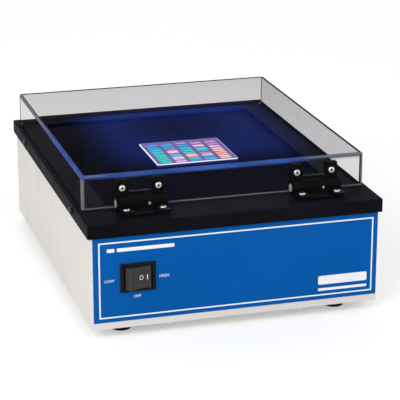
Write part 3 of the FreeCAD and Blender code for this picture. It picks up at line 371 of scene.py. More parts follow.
# %% [markdown]
# The case is folded steel with an off-white powder coat. Powder melts into a skin with a very
# fine orange-peel relief, about a millimetre from bump to bump, and it scatters light evenly.
# The top has the same kind of coat in satin black. A second, slower noise keeps large flat
# walls from looking like a flat tone. The strip behind the window stands in the cover's shade
# and close to the lit glass, so it gets less paint colour and more of the glow.

# %% Powder coats
case_coat = Finish("case_powder_coat")
case_coat.colour(case_coat.clouds(linear(229, 224, 220), linear(224, 219, 215), 14.0))
case_coat.shader.inputs["Specular IOR Level"].default_value = 0.2
case_coat.sheen(0.42, 0.52, 30.0).grain(900.0, 0.25, 0.00012)
case_coat.wear(["lamp_case"])

top_coat = Finish("top_powder_coat")
top_coat.shader.inputs["Specular IOR Level"].default_value = 0.003
top_coat.sheen(0.30, 0.40, 40.0).grain(1100.0, 0.2, 0.0001)
top_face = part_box("top_cover")[1].z
GLASS_LAP, COVER_WALL, BLUR = 0.005, 0.003, 0.0005
face_up = top_coat.span(top_coat.axis("Z"), top_face - 0.0018, top_face - 0.0014, 0.0, 1.0)
window_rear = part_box("filter_glass")[1].y - GLASS_LAP
cover_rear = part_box("uv_cover")[1].y - COVER_WALL
rear_strip = top_coat.math("MULTIPLY", face_up, top_coat.math(
    "MULTIPLY",
    top_coat.span(top_coat.axis("Y"), window_rear - BLUR, window_rear, 0.0, 1.0),
    top_coat.span(top_coat.axis("Y"), cover_rear, cover_rear + BLUR, 1.0, 0.0),
))
black = top_coat.clouds((0.0080, 0.0080, 0.0110), (0.0060, 0.0060, 0.0085), 20.0)
top_coat.colour(top_coat.mix(rear_strip, black, (0.0004, 0.0006, 0.0012)))
wash = top_coat.math("MULTIPLY", bloom_on(top_coat), face_up)
brighter = top_coat.math("ADD", top_coat.math("MULTIPLY", rear_strip, 0.6), 1.0)
wash = top_coat.math("MULTIPLY", wash, brighter)
top_coat.glow(top_coat.mix(wash, BLOOM_DEEP, BLOOM), wash)
top_coat.wear(["top_cover"])

side_screws = Finish("side_screw_black", metallic=0.6)
side_screws.colour(side_screws.clouds((0.02, 0.02, 0.022), (0.035, 0.035, 0.037), 300.0))
side_screws.sheen(0.3, 0.45, 500.0).grain(2500.0, 0.2, 0.00004)
side_screws.wear(["top_side_screws"])
print("coats on", "lamp_case", "top_cover")

# %% [markdown]
# The feet and the strip that seals the glass are black rubber. Rubber has no clear reflection:
# its face is rough, and dust and handling make it a little uneven. The strip lies at the edge
# of the lit glass, so it takes the same glow that falls on the black top beside it.

# %% Rubber feet and gasket
gasket = Finish("gasket_rubber")
gasket.shader.inputs["Specular IOR Level"].default_value = 0.05
gasket.colour(gasket.clouds((0.008, 0.008, 0.009), (0.013, 0.013, 0.014), 60.0))
gasket.sheen(0.6, 0.75, 90.0).grain(1500.0, 0.3, 0.0001)
gasket.wear(["rubber_feet"])
lit_gasket = Finish("gasket_rubber_lit", roughness=0.7)
lit_gasket.shader.inputs["Specular IOR Level"].default_value = 0.01
lit_gasket.colour(lit_gasket.clouds((0.006, 0.006, 0.009), (0.009, 0.009, 0.012), 60.0))
lit_gasket.grain(1500.0, 0.3, 0.0001)
wash = bloom_on(lit_gasket)
lit_gasket.glow(lit_gasket.mix(wash, BLOOM_DEEP, BLOOM), wash)
lit_gasket.wear(["filter_gasket"])
print("rubber on the feet and round the glass")

# %% [markdown]
# The cover is one clear acrylic shell with 3 mm walls. Clear plastic hardly shows on its faces:
# they only bend and dim what is behind them, more so where the eye meets them at a flat angle.
# What shows is its edges. They pipe light along the sheet, so the lower rim and the upright
# corners read as pale lines, and the two upper edges nearest the lamps pick up the blue glow.
# A glass shader would do all of this in one node, but it mirrors the pale surround over the
# dark window far more than a cover under studio lamps does. So the faces have a refraction
# shader, which bends light and mirrors nothing, and its tint darkens with the angle, least in
# the left wall, which has the bright lamp behind it. Shadow rays pass straight through, so the
# lamps reach the window.

# %% Clear cover
ACRYLIC_IOR = 1.49
VEIL, VEIL_AT_EDGE, VEIL_LEFT = 0.030, 1.42, 0.45
low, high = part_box("uv_cover")
acrylic = Finish("clear_acrylic", roughness=0.03)
acrylic.shader.inputs["IOR"].default_value = ACRYLIC_IOR
acrylic.shader.inputs["Specular IOR Level"].default_value = 0.004
to_front = acrylic.math("SUBTRACT", acrylic.axis("Y"), low.y)
to_back = acrylic.math("SUBTRACT", high.y, acrylic.axis("Y"))
to_left = acrylic.math("SUBTRACT", acrylic.axis("X"), low.x)
to_right = acrylic.math("SUBTRACT", high.x, acrylic.axis("X"))
to_top = acrylic.math("SUBTRACT", high.z, acrylic.axis("Z"))
to_foot = acrylic.math("SUBTRACT", acrylic.axis("Z"), low.z)

angle = acrylic.add("ShaderNodeLayerWeight")
angle.inputs["Blend"].default_value = 0.5
grazing = acrylic.math("POWER", angle.outputs["Facing"], 5.0)
dimming = acrylic.span(to_left, 0.0033, 0.0036, VEIL_LEFT, VEIL_AT_EDGE)
veil = acrylic.math("ADD", VEIL, acrylic.math("MULTIPLY", grazing, dimming))
clear = acrylic.add("ShaderNodeBsdfRefraction")
clear.inputs["IOR"].default_value = ACRYLIC_IOR
clear.inputs["Roughness"].default_value = 0.0
acrylic.join(acrylic.mix(veil, (1.0, 0.992, 1.0), (0.0, 0.0, 0.0)), clear.inputs["Color"])
open_to_lamps = acrylic.add("ShaderNodeBsdfTransparent")
open_to_lamps.inputs["Color"].default_value = (0.92, 0.92, 0.92, 1.0)
rays = acrylic.add("ShaderNodeLightPath")
past_lamps = acrylic.add("ShaderNodeMixShader")
acrylic.join(rays.outputs["Is Shadow Ray"], past_lamps.inputs[0])
acrylic.join(clear.outputs[0], past_lamps.inputs[1])
acrylic.join(open_to_lamps.outputs[0], past_lamps.inputs[2])
print("cover height", round(high.z - low.z, 4), "m")

# %% [markdown]
# The cover's edges come next. The sheet's cut rim and the glued corners are pale lines where
# the plastic carries light sideways. Along the roof's front and left edges that light is the
# blue of the lamps, strongest near the middle of the front and fading to the back. The lines
# are masks from the distance to two faces at once, so they follow the cover if its size
# changes. Thin glowing strips would do it too, but they would be loose pieces on a clear shell.

# %% Edges of the cover


def near(distance, reach, soft=0.3):
    """1 on a face, falling to 0 at a reach from it."""
    return acrylic.span(distance, reach * (1 - soft), reach, 1.0, 0.0)


def both_near(first, second, reach, soft=0.3):
    """1 along the edge where two faces meet."""
    return acrylic.math("MULTIPLY", near(first, reach, soft), near(second, reach, soft))


side = acrylic.math("MINIMUM", to_left, to_right)
end = acrylic.math("MINIMUM", to_front, to_back)
corner_lines = both_near(side, end, 0.0030, 0.25)
roof_lines = both_near(to_top, acrylic.math("MINIMUM", side, end), 0.0024, 0.3)
rim_line = acrylic.math("MULTIPLY", near(to_foot, 0.0017, 0.3), near(to_front, 0.0008, 0.5))
pale = acrylic.math("MAXIMUM", acrylic.math("MAXIMUM", corner_lines, roof_lines), rim_line)
front_edge = acrylic.math("MULTIPLY", near(to_top, 0.0050, 0.45), near(to_front, 0.0026, 0.5))
left_edge = acrylic.math("MULTIPLY", near(to_top, 0.0034, 0.4), near(to_left, 0.0036, 0.4))
from_left = acrylic.span(acrylic.axis("X"), low.x, low.x + 0.034, 0.35, 1.0, smooth=True)
to_the_right = acrylic.span(acrylic.axis("X"), 0.052, 0.108, 1.0, 0.07, smooth=True)
along_left = acrylic.span(acrylic.axis("Y"), -0.045, 0.085, 1.0, 0.04, smooth=True)
front_lit = acrylic.math("MULTIPLY", front_edge, acrylic.math("MULTIPLY", from_left,
                                                              to_the_right))
lit = acrylic.math("MAXIMUM", front_lit, acrylic.math("MULTIPLY", left_edge, along_left))
patches = acrylic.span(acrylic.noise(42.0, 3.0, (1.0, 1.0, 3.0)), 0.38, 0.62, 0.62, 1.08)
# The thick front and left roof edges get a dark band of painted shade, partly opaque.
dark_edge_bands = acrylic.math("MAXIMUM", front_edge, left_edge)
solid = acrylic.math("MAXIMUM", acrylic.math("MULTIPLY", pale, 0.82),
                     acrylic.math("MULTIPLY", dark_edge_bands, 0.55))
solid = acrylic.math("MAXIMUM", solid, acrylic.math("MULTIPLY", lit, 0.88))
surface = acrylic.add("ShaderNodeMixShader")
acrylic.join(solid, surface.inputs[0])
acrylic.join(past_lamps.outputs[0], surface.inputs[1])
acrylic.join(acrylic.shader.outputs[0], surface.inputs[2])
acrylic.join(surface.outputs[0], acrylic.tree.nodes["Material Output"].inputs["Surface"])
# Painted shade for those edge bands: near black, drifting a little.
edge_band_shade = acrylic.clouds((0.010, 0.010, 0.013), (0.016, 0.016, 0.020), 30.0)
unlit = acrylic.math("MULTIPLY", pale, acrylic.math("SUBTRACT", 1.0, lit))
acrylic.colour(acrylic.mix(unlit, edge_band_shade, (0.20, 0.20, 0.215)))
acrylic.glow((0.034, 0.108, 0.45), acrylic.math("MULTIPLY", lit, patches))
acrylic.wear(["uv_cover"])
print("edge lines on the rim, corners and roof")

# %% [markdown]
# Two soft clear bumpers keep the cover's rear wall off the paint. They are squashy plastic, so
# they are milky and a little rough, and about half of the light goes through.

# %% Bumpers
bumper = Finish("clear_bumper", roughness=0.35)
bumper.shader.inputs["Transmission Weight"].default_value = 0.6
bumper.colour(bumper.clouds((0.75, 0.76, 0.78), (0.82, 0.83, 0.84), 200.0))
bumper.grain(900.0, 0.15, 0.0001)
bumper.wear(["cover_bumpers"])

# %% [markdown]
# The label is printed polyester film: solid blue, with a thin white rule a few millimetres in
# from its edges and further in at the top, where the black cover laps over it. The rule is
# drawn in the finish from the distance to a rectangle, which keeps it one even width all round.
# The film has a satin, slightly pebbled face.

# %% Front label
low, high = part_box("front_label")
RULE_LEFT, RULE_RIGHT = 0.0055, 0.0047
RULE_LOW, RULE_HIGH = 0.0042, 0.0095
RULE_HALF, INK_FADE = 0.00056, 0.0001
label = Finish("label_film")


def past_ends(axis, start, stop):
    """How far a point lies outside a stretch of an axis, less than 0 inside it."""
    from_middle = label.math("SUBTRACT", label.axis(axis), (start + stop) / 2)
    return label.math("SUBTRACT", label.math("ABSOLUTE", from_middle), (stop - start) / 2)


across = past_ends("X", low.x + RULE_LEFT, high.x - RULE_RIGHT)
upward = past_ends("Z", low.z + RULE_LOW, high.z - RULE_HIGH)
ring = label.math("ABSOLUTE", label.math("MAXIMUM", across, upward))
rule = label.span(ring, RULE_HALF, RULE_HALF + INK_FADE, 1.0, 0.0)
blue = label.clouds((0.0006, 0.098, 0.385), (0.0010, 0.104, 0.41), 10.0)
label.colour(label.mix(rule, blue, (0.96, 0.97, 0.98)))
label.sheen(0.45, 0.55, 60.0).grain(1400.0, 0.12, 0.00006)
label.shader.inputs["Specular IOR Level"].default_value = 0.05
label.wear(["front_label"])
print("label", round(high.x - low.x, 4), "by", round(high.z - low.z, 4), "m")

# %% [markdown]
# The legends beside the switch and two plain white blocks are screen print: a film of ink a
# few hundredths of a millimetre thick on the label. They are made as thin meshes, because an
# edge of ink should stay sharp. A text curve becomes a mesh before it is placed, and then it
# is set upright against the label.

# %% Ink and how it is laid
ink = Finish("white_ink")
ink.colour(ink.clouds((0.95, 0.96, 0.97), (0.90, 0.91, 0.92), 400.0))
ink.sheen(0.5, 0.6, 300.0).grain(3000.0, 0.15, 0.00003)
low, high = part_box("front_label")
LABEL_FACE = low.y
INK = 0.00004


def finish_piece(name, form, body, material):
    """Makes an object from a bmesh, with its normals outward, riding on a body."""
    bmesh.ops.remove_doubles(form, verts=form.verts, dist=1e-7)
    bmesh.ops.recalc_face_normals(form, faces=form.faces)
    mesh = bpy.data.meshes.new(name)
    form.to_mesh(mesh)
    form.free()
    mesh.materials.append(material)
    made = bpy.data.objects.new(name, mesh)
    bpy.context.scene.collection.objects.link(made)
    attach(made, body)
    return made


def printed_word(name, word, height, x, z):
    """A short word standing on the label, centred on a point."""
    curve = bpy.data.curves.new(name, "FONT")
    curve.body = word
    curve.size = height / 0.7
    curve.align_x, curve.align_y = "CENTER", "CENTER"
    curve.extrude = INK / 2
    curve.resolution_u = 3
    holder = bpy.data.objects.new(name + "_curve", curve)
    bpy.context.scene.collection.objects.link(holder)
    bpy.context.view_layer.update()
    form = bmesh.new()
    form.from_mesh(bpy.data.meshes.new_from_object(holder))
    bpy.data.objects.remove(holder)
    bmesh.ops.rotate(form, cent=(0, 0, 0), matrix=Matrix.Rotation(math.pi / 2, 3, "X"),
                     verts=form.verts)
    bmesh.ops.translate(form, vec=(x, LABEL_FACE - INK / 2, z), verts=form.verts)
    return finish_piece(name, form, "lamp_box", ink.material)


def printed_block(name, x0, x1, z0, z1, corner):
    """A plain block of ink with rounded corners."""
    form = bmesh.new()
    bmesh.ops.create_cube(form, size=1.0)
    bmesh.ops.scale(form, vec=(x1 - x0, INK, z1 - z0), verts=form.verts)
    bmesh.ops.translate(
        form, vec=((x0 + x1) / 2, LABEL_FACE - INK / 2, (z0 + z1) / 2), verts=form.verts
    )
    sides = [e for e in form.edges if abs((e.verts[0].co - e.verts[1].co).y) > INK / 2]
    bmesh.ops.bevel(form, geom=sides, offset=corner, segments=4, affect="EDGES",
                    profile=0.5, material=-1)
    return finish_piece(name, form, "lamp_box", ink.material)


print("ink is", INK * 1000, "mm thick")

# %% [markdown]
# The words stand left, right and below the switch, one for each of its three positions. The
# title and the nameplate are plain blocks, with no words, at the size such print has. Their
# places are measured from the switch and from the label's corners, so they follow both.

# %% Words and plain blocks
LETTER = 0.0026
BAR, BAR_CORNER = 0.0032, 0.0006
PLATE_WIDTH, PLATE_HEIGHT, PLATE_CORNER = 0.0455, 0.0082, 0.0014
switch_low, switch_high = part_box("switch_housing")
switch_x = (switch_low.x + switch_high.x) / 2
switch_z = (switch_low.z + switch_high.z) / 2
words = {
    "legend_low": ("LOW", switch_low.x - 0.0093, switch_z - 0.0019),
    "legend_high": ("HIGH", switch_high.x + 0.0079, switch_z - 0.0014),
    "legend_off": ("OFF", switch_x - 0.0004, switch_low.z - 0.0049),
}
for name, (word, x, z) in words.items():
    printed_word(name, word, LETTER, x, z)
title_x, title_z = low.x + 0.0122, high.z - 0.0180
plate_x, plate_z = high.x - 0.0545, low.z + 0.0138
plate_end = plate_x + PLATE_WIDTH
blocks = {
    "title_bar_short": (title_x, title_x + 0.0066, title_z, title_z + BAR, BAR_CORNER),
    "title_bar_long": (title_x + 0.0088, title_x + 0.0592, title_z, title_z + BAR, BAR_CORNER),
    "plain_plate": (plate_x, plate_end, plate_z, plate_z + PLATE_HEIGHT, PLATE_CORNER),
    "plain_plate_foot": (plate_x, plate_end, plate_z - 0.0058, plate_z - 0.0034, BAR_CORNER),
}
for name, measures in blocks.items():
    printed_block(name, *measures)
print("printed:", ", ".join([*words, *blocks]))

# %% [markdown]
# The switch is a black rocker that tilts left and right. Its right side is pressed in, and its
# left side stands proud. A ring and a bar are printed right of its middle. They are drawn in
# the finish from plain distances, so they lie in the curved face without a seam.

# %% Rocker switch
housing = Finish("switch_black")
housing.shader.inputs["Specular IOR Level"].default_value = 0.06
housing.colour(housing.clouds((0.008, 0.007, 0.007), (0.012, 0.011, 0.011), 120.0))
housing.sheen(0.3, 0.4, 160.0).grain(1800.0, 0.12, 0.00005)
housing.wear(["switch_housing"])

rocker = Finish("rocker_black")
rocker.shader.inputs["Specular IOR Level"].default_value = 0.25
mark_x, bar_x = switch_x + 0.0024, switch_x + 0.0078
from_x = rocker.math("DIVIDE", rocker.math("SUBTRACT", rocker.axis("X"), mark_x), 0.8)
from_z = rocker.math("SUBTRACT", rocker.axis("Z"), switch_z)
radius = rocker.math("SQRT", rocker.math(
    "ADD", rocker.math("MULTIPLY", from_x, from_x), rocker.math("MULTIPLY", from_z, from_z)))
ring = rocker.span(rocker.math("ABSOLUTE", rocker.math("SUBTRACT", radius, 0.0019)),
                   0.00030, 0.00036, 1.0, 0.0)
bar_across = rocker.math("ABSOLUTE", rocker.math("SUBTRACT", rocker.axis("X"), bar_x))
bar = rocker.math("MULTIPLY", rocker.span(bar_across, 0.00034, 0.0004, 1.0, 0.0),
                  rocker.span(rocker.math("ABSOLUTE", from_z), 0.0022, 0.00226, 1.0, 0.0))
front = rocker.span(rocker.axis("Y"), switch_low.y + 0.004, switch_low.y + 0.0042, 1.0, 0.0)
marks = rocker.math("MULTIPLY", rocker.math("MAXIMUM", ring, bar), front)
plain = rocker.clouds((0.028, 0.023, 0.024), (0.036, 0.030, 0.031), 150.0)
rocker.colour(rocker.mix(marks, plain, (0.82, 0.82, 0.82)))
rocker.sheen(0.32, 0.42, 200.0).grain(1600.0, 0.15, 0.00006)
rocker.wear(["switch_rocker"])
print("rocker marks at", round(mark_x, 4), round(bar_x, 4))

# %% [markdown]
# Hinges of this kind are moulded in glass-filled nylon, which comes out of the tool with a
# fine spark-eroded grain and a dull, even black. Its low gloss matters more than its colour:
# a shinier black would mirror the pale surround and come out grey.

# %% Hinge leaves
hinge = Finish("hinge_nylon")
hinge.shader.inputs["Specular IOR Level"].default_value = 0.03
hinge.colour(hinge.clouds((0.0030, 0.0030, 0.0036), (0.0050, 0.0050, 0.0058), 90.0))
hinge.sheen(0.36, 0.5, 140.0).grain(2200.0, 0.35, 0.00007)
hinge.wear([f"hinge_{which}_leaf_{side}" for which in ("lower", "upper")
            for side in ("left", "right")])
print("black nylon on four hinge leaves")

# %% [markdown]
# Most metal in the box is plated or bare sheet and turned parts: bright, with faint tool marks,
# which are noise stretched along one axis. They differ only in shade and polish, so a table
# holds those, and one loop makes the finishes.

# %% Metal parts
METALS = {
    "pin_steel": (0.62, 0.20, 0.30, ["hinge_adjusters"]),
    "zinc_plate": (0.68, 0.20, 0.34, [
        "hinge_lower_nuts", "hinge_upper_nuts", "foot_screws", "foot_nuts", "floor_screws",
        "floor_nuts", "filter_clips", "filter_clip_nuts", "top_side_nuts", "inlet_screws",
        "inlet_nuts",
    ]),
    "rail_zinc": (0.55, 0.30, 0.45, ["front_lamp_rail", "rear_lamp_rail"]),
    "bright_aluminium": (0.80, 0.15, 0.28, ["lamp_reflector"]),
    "lamp_cap_aluminium": (0.72, 0.22, 0.34, ["lamp_caps"]),
    "ballast_can": (0.66, 0.35, 0.5, ["ballast_left", "ballast_right"]),
}
for name, (shade, smooth, rough, wearers) in METALS.items():
    metal = Finish(name, metallic=1.0)
    metal.colour(metal.clouds((shade, shade, shade * 0.99),
                              (shade * 0.88, shade * 0.88, shade * 0.89), 220.0))
    metal.sheen(smooth, rough, 260.0, (1.0, 6.0, 1.0))
    metal.grain(900.0, 0.15, 0.00004, (1.0, 8.0, 1.0))
    metal.wear(wearers)
print("metals:", ", ".join(METALS))

# %% [markdown]
# The hinge screws face the eye, and the driver cross in each head holds shade that polished
# zinc would lose. The cross is a dark mask. Four screws share it by folding the distance twice:
# once about the middle of the pair of hinges, and once about the middle of a hinge.

# %% Cross-head screws
pair_left, pair_right = (
    sum(corner.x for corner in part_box(f"hinge_lower_leaf_{side}")) / 2
    for side in ("left", "right")
)


def cross_screws(node, letter):
    """Zinc plate with a dark driver cross in each head; the letter is the heads' other axis."""
    low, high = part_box(node)
    lowest, highest = ((low.y, high.y) if letter == "Y" else (low.z, high.z))
    head = (highest - lowest) / 2
    screw = Finish(node + "_zinc", metallic=1.0)
    from_pair = screw.math("ABSOLUTE", screw.math("SUBTRACT", screw.axis("X"),
                                                  (pair_left + pair_right) / 2))
    from_hinge = screw.math("ABSOLUTE", screw.math("SUBTRACT", from_pair,
                                                   (pair_right - pair_left) / 2))
    aside = screw.math("ABSOLUTE", screw.math("SUBTRACT", from_hinge,
                                              pair_left - low.x - head))
    upward = screw.math("ABSOLUTE", screw.math("SUBTRACT", screw.axis(letter),
                                               (lowest + highest) / 2))
    narrow = screw.span(screw.math("MINIMUM", aside, upward), 0.00046, 0.00054, 1.0, 0.0)
    reach = screw.span(screw.math("MAXIMUM", aside, upward), head * 0.50, head * 0.56, 1.0, 0.0)
    cross = screw.math("MULTIPLY", narrow, reach)
    bright = screw.clouds((0.68, 0.68, 0.67), (0.60, 0.60, 0.61), 220.0)
    screw.colour(screw.mix(cross, bright, (0.03, 0.03, 0.03)))
    screw.sheen(0.20, 0.34, 260.0).grain(900.0, 0.15, 0.00004)
    screw.wear([node])
    print(node, "head", round(2 * head, 4), "m across")


cross_screws("hinge_upper_screws", "Z")
cross_screws("hinge_lower_screws", "Y")

# %% [markdown]
# The last metals are special: pin ends that are ground flat and dull, plated brass in the
# contacts, and nickel on the fuse's caps.

# %% Pins, contacts and fuse caps
pin_end = Finish("ground_pin_end", metallic=0.15)
pin_end.colour(pin_end.clouds((0.44, 0.44, 0.45), (0.36, 0.36, 0.37), 500.0))
pin_end.sheen(0.4, 0.55, 600.0).grain(2600.0, 0.2, 0.00003)
pin_end.wear(["hinge_pins"])
contact = Finish("contact_brass", metallic=1.0)
contact.colour(contact.clouds((0.62, 0.46, 0.20), (0.52, 0.38, 0.17), 300.0))
contact.sheen(0.22, 0.38, 300.0).grain(1200.0, 0.15, 0.00004)
contact.wear(["switch_blades", "inlet_pins", "terminal_screws"])
cap = Finish("nickel_cap", metallic=1.0)
cap.colour(cap.clouds((0.66, 0.65, 0.60), (0.58, 0.57, 0.53), 300.0))
cap.sheen(0.2, 0.34, 300.0).grain(1500.0, 0.12, 0.00003)
cap.wear(["fuse_caps"])
print("pins, contacts and caps done")

# %% [markdown]
# Inside and behind are the pieces that few people see: pale plastic lamp holders, a terminal
# block, cables in grey jackets, and the black inlet with its fuse drawer. They get the same
# care, because the vents, the socket and an opened drawer show them.

# %% Plastics and cables
PLASTICS = {
    "holder_plastic": ((0.80, 0.80, 0.77), 0.35, 0.45, ["front_lamp_holders",
                                                        "rear_lamp_holders"]),
    "block_plastic": ((0.78, 0.76, 0.70), 0.4, 0.5, ["terminal_block"]),
    "inlet_plastic": ((0.014, 0.014, 0.015), 0.34, 0.46, ["power_inlet", "fuse_drawer"]),
    "cable_jacket": ((0.26, 0.265, 0.27), 0.4, 0.52, [
        "switch_cable", "inlet_cable", "ballast_cable_left", "ballast_cable_right",
        "lamp_cables",
    ]),
}
for name, (tone, smooth, rough, wearers) in PLASTICS.items():
    plastic = Finish(name)
    dark = tuple(part * 0.88 for part in tone)
    plastic.colour(plastic.clouds(tone, dark, 110.0))
    plastic.sheen(smooth, rough, 150.0).grain(1700.0, 0.25, 0.00006)
    plastic.wear(wearers)
print("plastics:", ", ".join(PLASTICS))

# %% [markdown]
# The tube lamps are clear glass with a violet glow inside, uneven along their length, and the
# fuse is a small clear tube. Transmission in the main shader is enough here, because nothing
# dark stands behind them that a pale reflection could wash out.

# %% Lamp tubes and fuse glass
LAMP_COUNT = 6
tube = Finish("lamp_tube_glass", roughness=0.05)
tube.shader.inputs["Transmission Weight"].default_value = 0.7
tube.colour(tube.clouds((0.80, 0.83, 0.95), (0.74, 0.78, 0.92), 60.0))
tube.glow((0.20, 0.22, 1.0), tube.span(tube.noise(12.0), 0.3, 0.7, 0.5, 0.7))
tube.wear([f"lamp_tube_{k}" for k in range(1, LAMP_COUNT + 1)])
fuse = Finish("fuse_glass", roughness=0.04)
fuse.shader.inputs["Transmission Weight"].default_value = 0.9
fuse.colour(fuse.clouds((0.85, 0.90, 0.92), (0.80, 0.86, 0.88), 200.0))
fuse.wear(["fuse_glass"])
print("glass on", LAMP_COUNT, "lamps and the fuse")

# %% [markdown]
# The gel is a slab of clear jelly cast round a comb, which leaves a row of small wells near
# its back edge. The slab is a box with its upright edges rounded. Its top is then cut along
# the wells' sides, and each well's roof is extruded downwards, which makes the pocket's walls
# and leaves its floor. A boolean would cut the wells too, but the cuts keep clean faces.

# %% Gel slab with wells
low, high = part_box("gel_slab")
gel_width, gel_depth = high.x - low.x, high.y - low.y
LANES = 5
LANE_MARGIN = 0.0028
lane_pitch = (gel_width - 2 * LANE_MARGIN) / LANES
WELL_SIDE, WELL_DEPTH, WELL_DROP, WELL_INSET = 0.0090, 0.0014, 0.0020, 0.0022
well_front = high.y - WELL_INSET - WELL_DEPTH
well_lefts = [low.x + LANE_MARGIN + lane_pitch * (k + 0.5) - WELL_SIDE / 2 for k in range(LANES)]


def cut_across(form, axis, place):
    """Cuts the whole form with a plane square to an axis."""
    normal = Vector((0, 0, 0))
    normal[axis] = 1.0
    geometry = form.verts[:] + form.edges[:] + form.faces[:]
    bmesh.ops.bisect_plane(form, geom=geometry, plane_co=normal * place, plane_no=normal,
                           dist=1e-7)


def gel_form():
    """The slab with its wells, as a bmesh."""
    form = bmesh.new()
    bmesh.ops.create_cube(form, size=1.0)
    bmesh.ops.scale(form, vec=high - low, verts=form.verts)
    bmesh.ops.translate(form, vec=(low + high) / 2, verts=form.verts)
    uprights = [e for e in form.edges if abs((e.verts[0].co - e.verts[1].co).z) > 0.002]
    bmesh.ops.bevel(form, geom=uprights, offset=0.0014, segments=4, affect="EDGES",
                    profile=0.5, material=-1)
    for place in (well_front, well_front + WELL_DEPTH):
        cut_across(form, 1, place)
    for left in well_lefts:
        cut_across(form, 0, left)
        cut_across(form, 0, left + WELL_SIDE)
    for left in well_lefts:
        centre = Vector((left + WELL_SIDE / 2, well_front + WELL_DEPTH / 2, high.z))
        roof = min(form.faces, key=lambda f: (f.calc_center_median() - centre).length)
        pocket = bmesh.ops.extrude_face_region(form, geom=[roof])
        moved = [g for g in pocket["geom"] if isinstance(g, bmesh.types.BMVert)]
        bmesh.ops.translate(form, vec=(0, 0, -WELL_DROP), verts=moved)
        bmesh.ops.delete(form, geom=[roof], context="FACES_ONLY")
    return form


stain = Finish("stained_gel", roughness=0.25)
gel = finish_piece("stained_gel_slab", gel_form(), "gel", stain.material)
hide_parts("gel_slab")
sides_of_edges = {}
for polygon in gel.data.polygons:
    for key in polygon.edge_keys:
        sides_of_edges[key] = sides_of_edges.get(key, 0) + 1
print("gel", round(gel_width, 4), "by", round(gel_depth, 4), "m; open edges:",
      sum(count != 2 for count in sides_of_edges.values()))

# %% [markdown]
# Stain in the gel glows under the lamps, in bands that have crept down five lanes. Each lane
# is listed as places along it, from 0 at the end by the hinges to 1 at its well, each with its
# colour.
# The colours run from cyan and green on the left to pink and orange on the right.

# %% Bands of stain
BAND = {
    "teal": (0.045, 0.66, 0.80), "cyan": (0.035, 0.42, 0.86), "green": (0.055, 0.74, 0.52),
    "pink": (1.05, 0.55, 0.80), "rose": (0.66, 0.30, 0.56), "peach": (1.15, 0.58, 0.50),
    "orange": (1.20, 0.55, 0.26), "lilac": (0.42, 0.40, 0.92), "sky": (0.10, 0.40, 0.86),
    "frost": (0.72, 0.78, 0.95),
}
JELLY = (0.165, 0.125, 0.370)
GAP = (0.080, 0.100, 0.330)
LANE_BANDS = [
    [(0.06, "teal"), (0.16, "green"), (0.26, "green"), (0.36, "green"), (0.46, "teal"),
     (0.56, "teal"), (0.67, "teal"), (0.79, "cyan"), (0.92, "cyan")],
    [(0.04, "pink"), (0.16, "pink"), (0.24, "frost"), (0.33, "teal"), (0.51, "pink"),
     (0.74, "cyan"), (0.86, "cyan")],
    [(0.04, "cyan"), (0.13, "teal"), (0.24, "orange"), (0.31, "peach"), (0.44, "teal"),
     (0.55, "teal"), (0.66, "teal"), (0.80, "cyan"), (0.94, "lilac")],
    [(0.06, "teal"), (0.16, "sky"), (0.26, "frost"), (0.34, "rose"), (0.48, "sky"),
     (0.56, "green"), (0.74, "pink"), (0.88, "rose")],
    [(0.05, "peach"), (0.14, "peach"), (0.23, "orange"), (0.33, "orange"), (0.43, "peach"),
     (0.53, "peach"), (0.65, "pink"), (0.77, "rose"), (0.89, "rose")],
]
print("bands:", [len(bands) for bands in LANE_BANDS])

# %% [markdown]
# A lane is a colour ramp along the gel's length, with a dip to the plain jelly's violet between
# bands, and five masks across the width choose which ramp shows. A little noise is added to
# the place along the lane, so that no band has a ruler's edge.

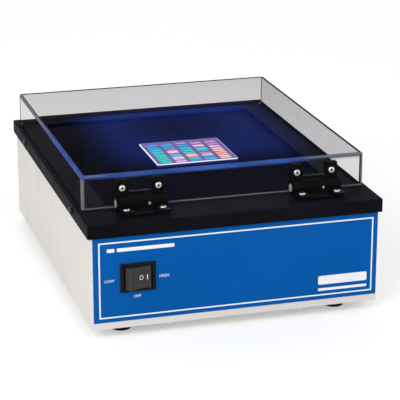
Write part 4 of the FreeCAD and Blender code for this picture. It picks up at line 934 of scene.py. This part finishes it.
# %% Lanes
BAND_HALF = 0.019
along = stain.span(stain.axis("Y"), low.y + 0.002, well_front - 0.001, 0.0, 1.0)
wobble = stain.span(stain.noise(180.0, 2.0), 0.3, 0.7, -0.011, 0.011)
along = stain.math("ADD", along, wobble)
face = None
for lane, bands in enumerate(LANE_BANDS):
    ramp = stain.add("ShaderNodeValToRGB")
    ramp.color_ramp.interpolation = "EASE"
    stain.join(along, ramp.inputs["Fac"])
    stops = ramp.color_ramp.elements
    stops[0].position, stops[1].position = 0.0, 1.0
    stops[0].color = stops[1].color = (*JELLY, 1.0)
    last = 0.0
    for place, name in bands:
        dip = max(place - BAND_HALF - 0.022, (last + place) / 2 - BAND_HALF / 2)
        for at, tone in ((dip, GAP if place - last < 0.13 else JELLY),
                         (place - BAND_HALF, BAND[name]), (place + BAND_HALF, BAND[name])):
            stops.new(min(max(at, 0.001), 0.999)).color = (*tone, 1.0)
        last = place + BAND_HALF
    print("lane", lane + 1, "has", len(bands), "bands and", len(stops), "stops")
    middle = low.x + LANE_MARGIN + lane_pitch * (lane + 0.5)
    off = stain.math("ABSOLUTE", stain.math("SUBTRACT", stain.axis("X"), middle))
    mask = stain.span(off, 0.0043, 0.0060, 1.0, 0.0)
    face = stain.mix(mask, face if face else JELLY, ramp.outputs["Color"])

# %% [markdown]
# The clear edge of the slab pipes light like the cover's edges do, so its upper rim is a painted
# white line, brighter on the near sides than on the far ones, and its flanks get a painted
# shade.
# All of it is light given off, so the slab has almost no gloss of its own to dull the colours.

# %% Rim and glow of the gel
to_near_rim = stain.math("MINIMUM", stain.math("SUBTRACT", stain.axis("X"), low.x),
                         stain.math("SUBTRACT", stain.axis("Y"), low.y))
to_far_rim = stain.math("MINIMUM", stain.math("SUBTRACT", high.x, stain.axis("X")),
                        stain.math("SUBTRACT", high.y, stain.axis("Y")))
below = stain.math("SUBTRACT", high.z, stain.axis("Z"))
rim = stain.math("MAXIMUM", stain.span(to_near_rim, 0.0006, 0.0012, 1.0, 0.0),
                 stain.span(to_far_rim, 0.0004, 0.0010, 0.42, 0.0))
rim = stain.math("MULTIPLY", rim, stain.span(below, 0.0006, 0.0009, 1.0, 0.0))
# Painted shade on the flanks, below the rim.
shaded_flank = stain.span(below, 0.0006, 0.0009, 0.0, 1.0)
face = stain.mix(shaded_flank, face, (0.020, 0.024, 0.130))
face = stain.mix(rim, face, (0.95, 1.0, 1.15))
stain.shader.inputs["Specular IOR Level"].default_value = 0.01
stain.colour(stain.mix(0.94, face, (0.0, 0.0, 0.0)))
stain.glow(face, 1.3)
stain.grain(300.0, 0.15, 0.0002)
print("gel finish has", len(stain.tree.nodes), "nodes")

# %% [markdown]
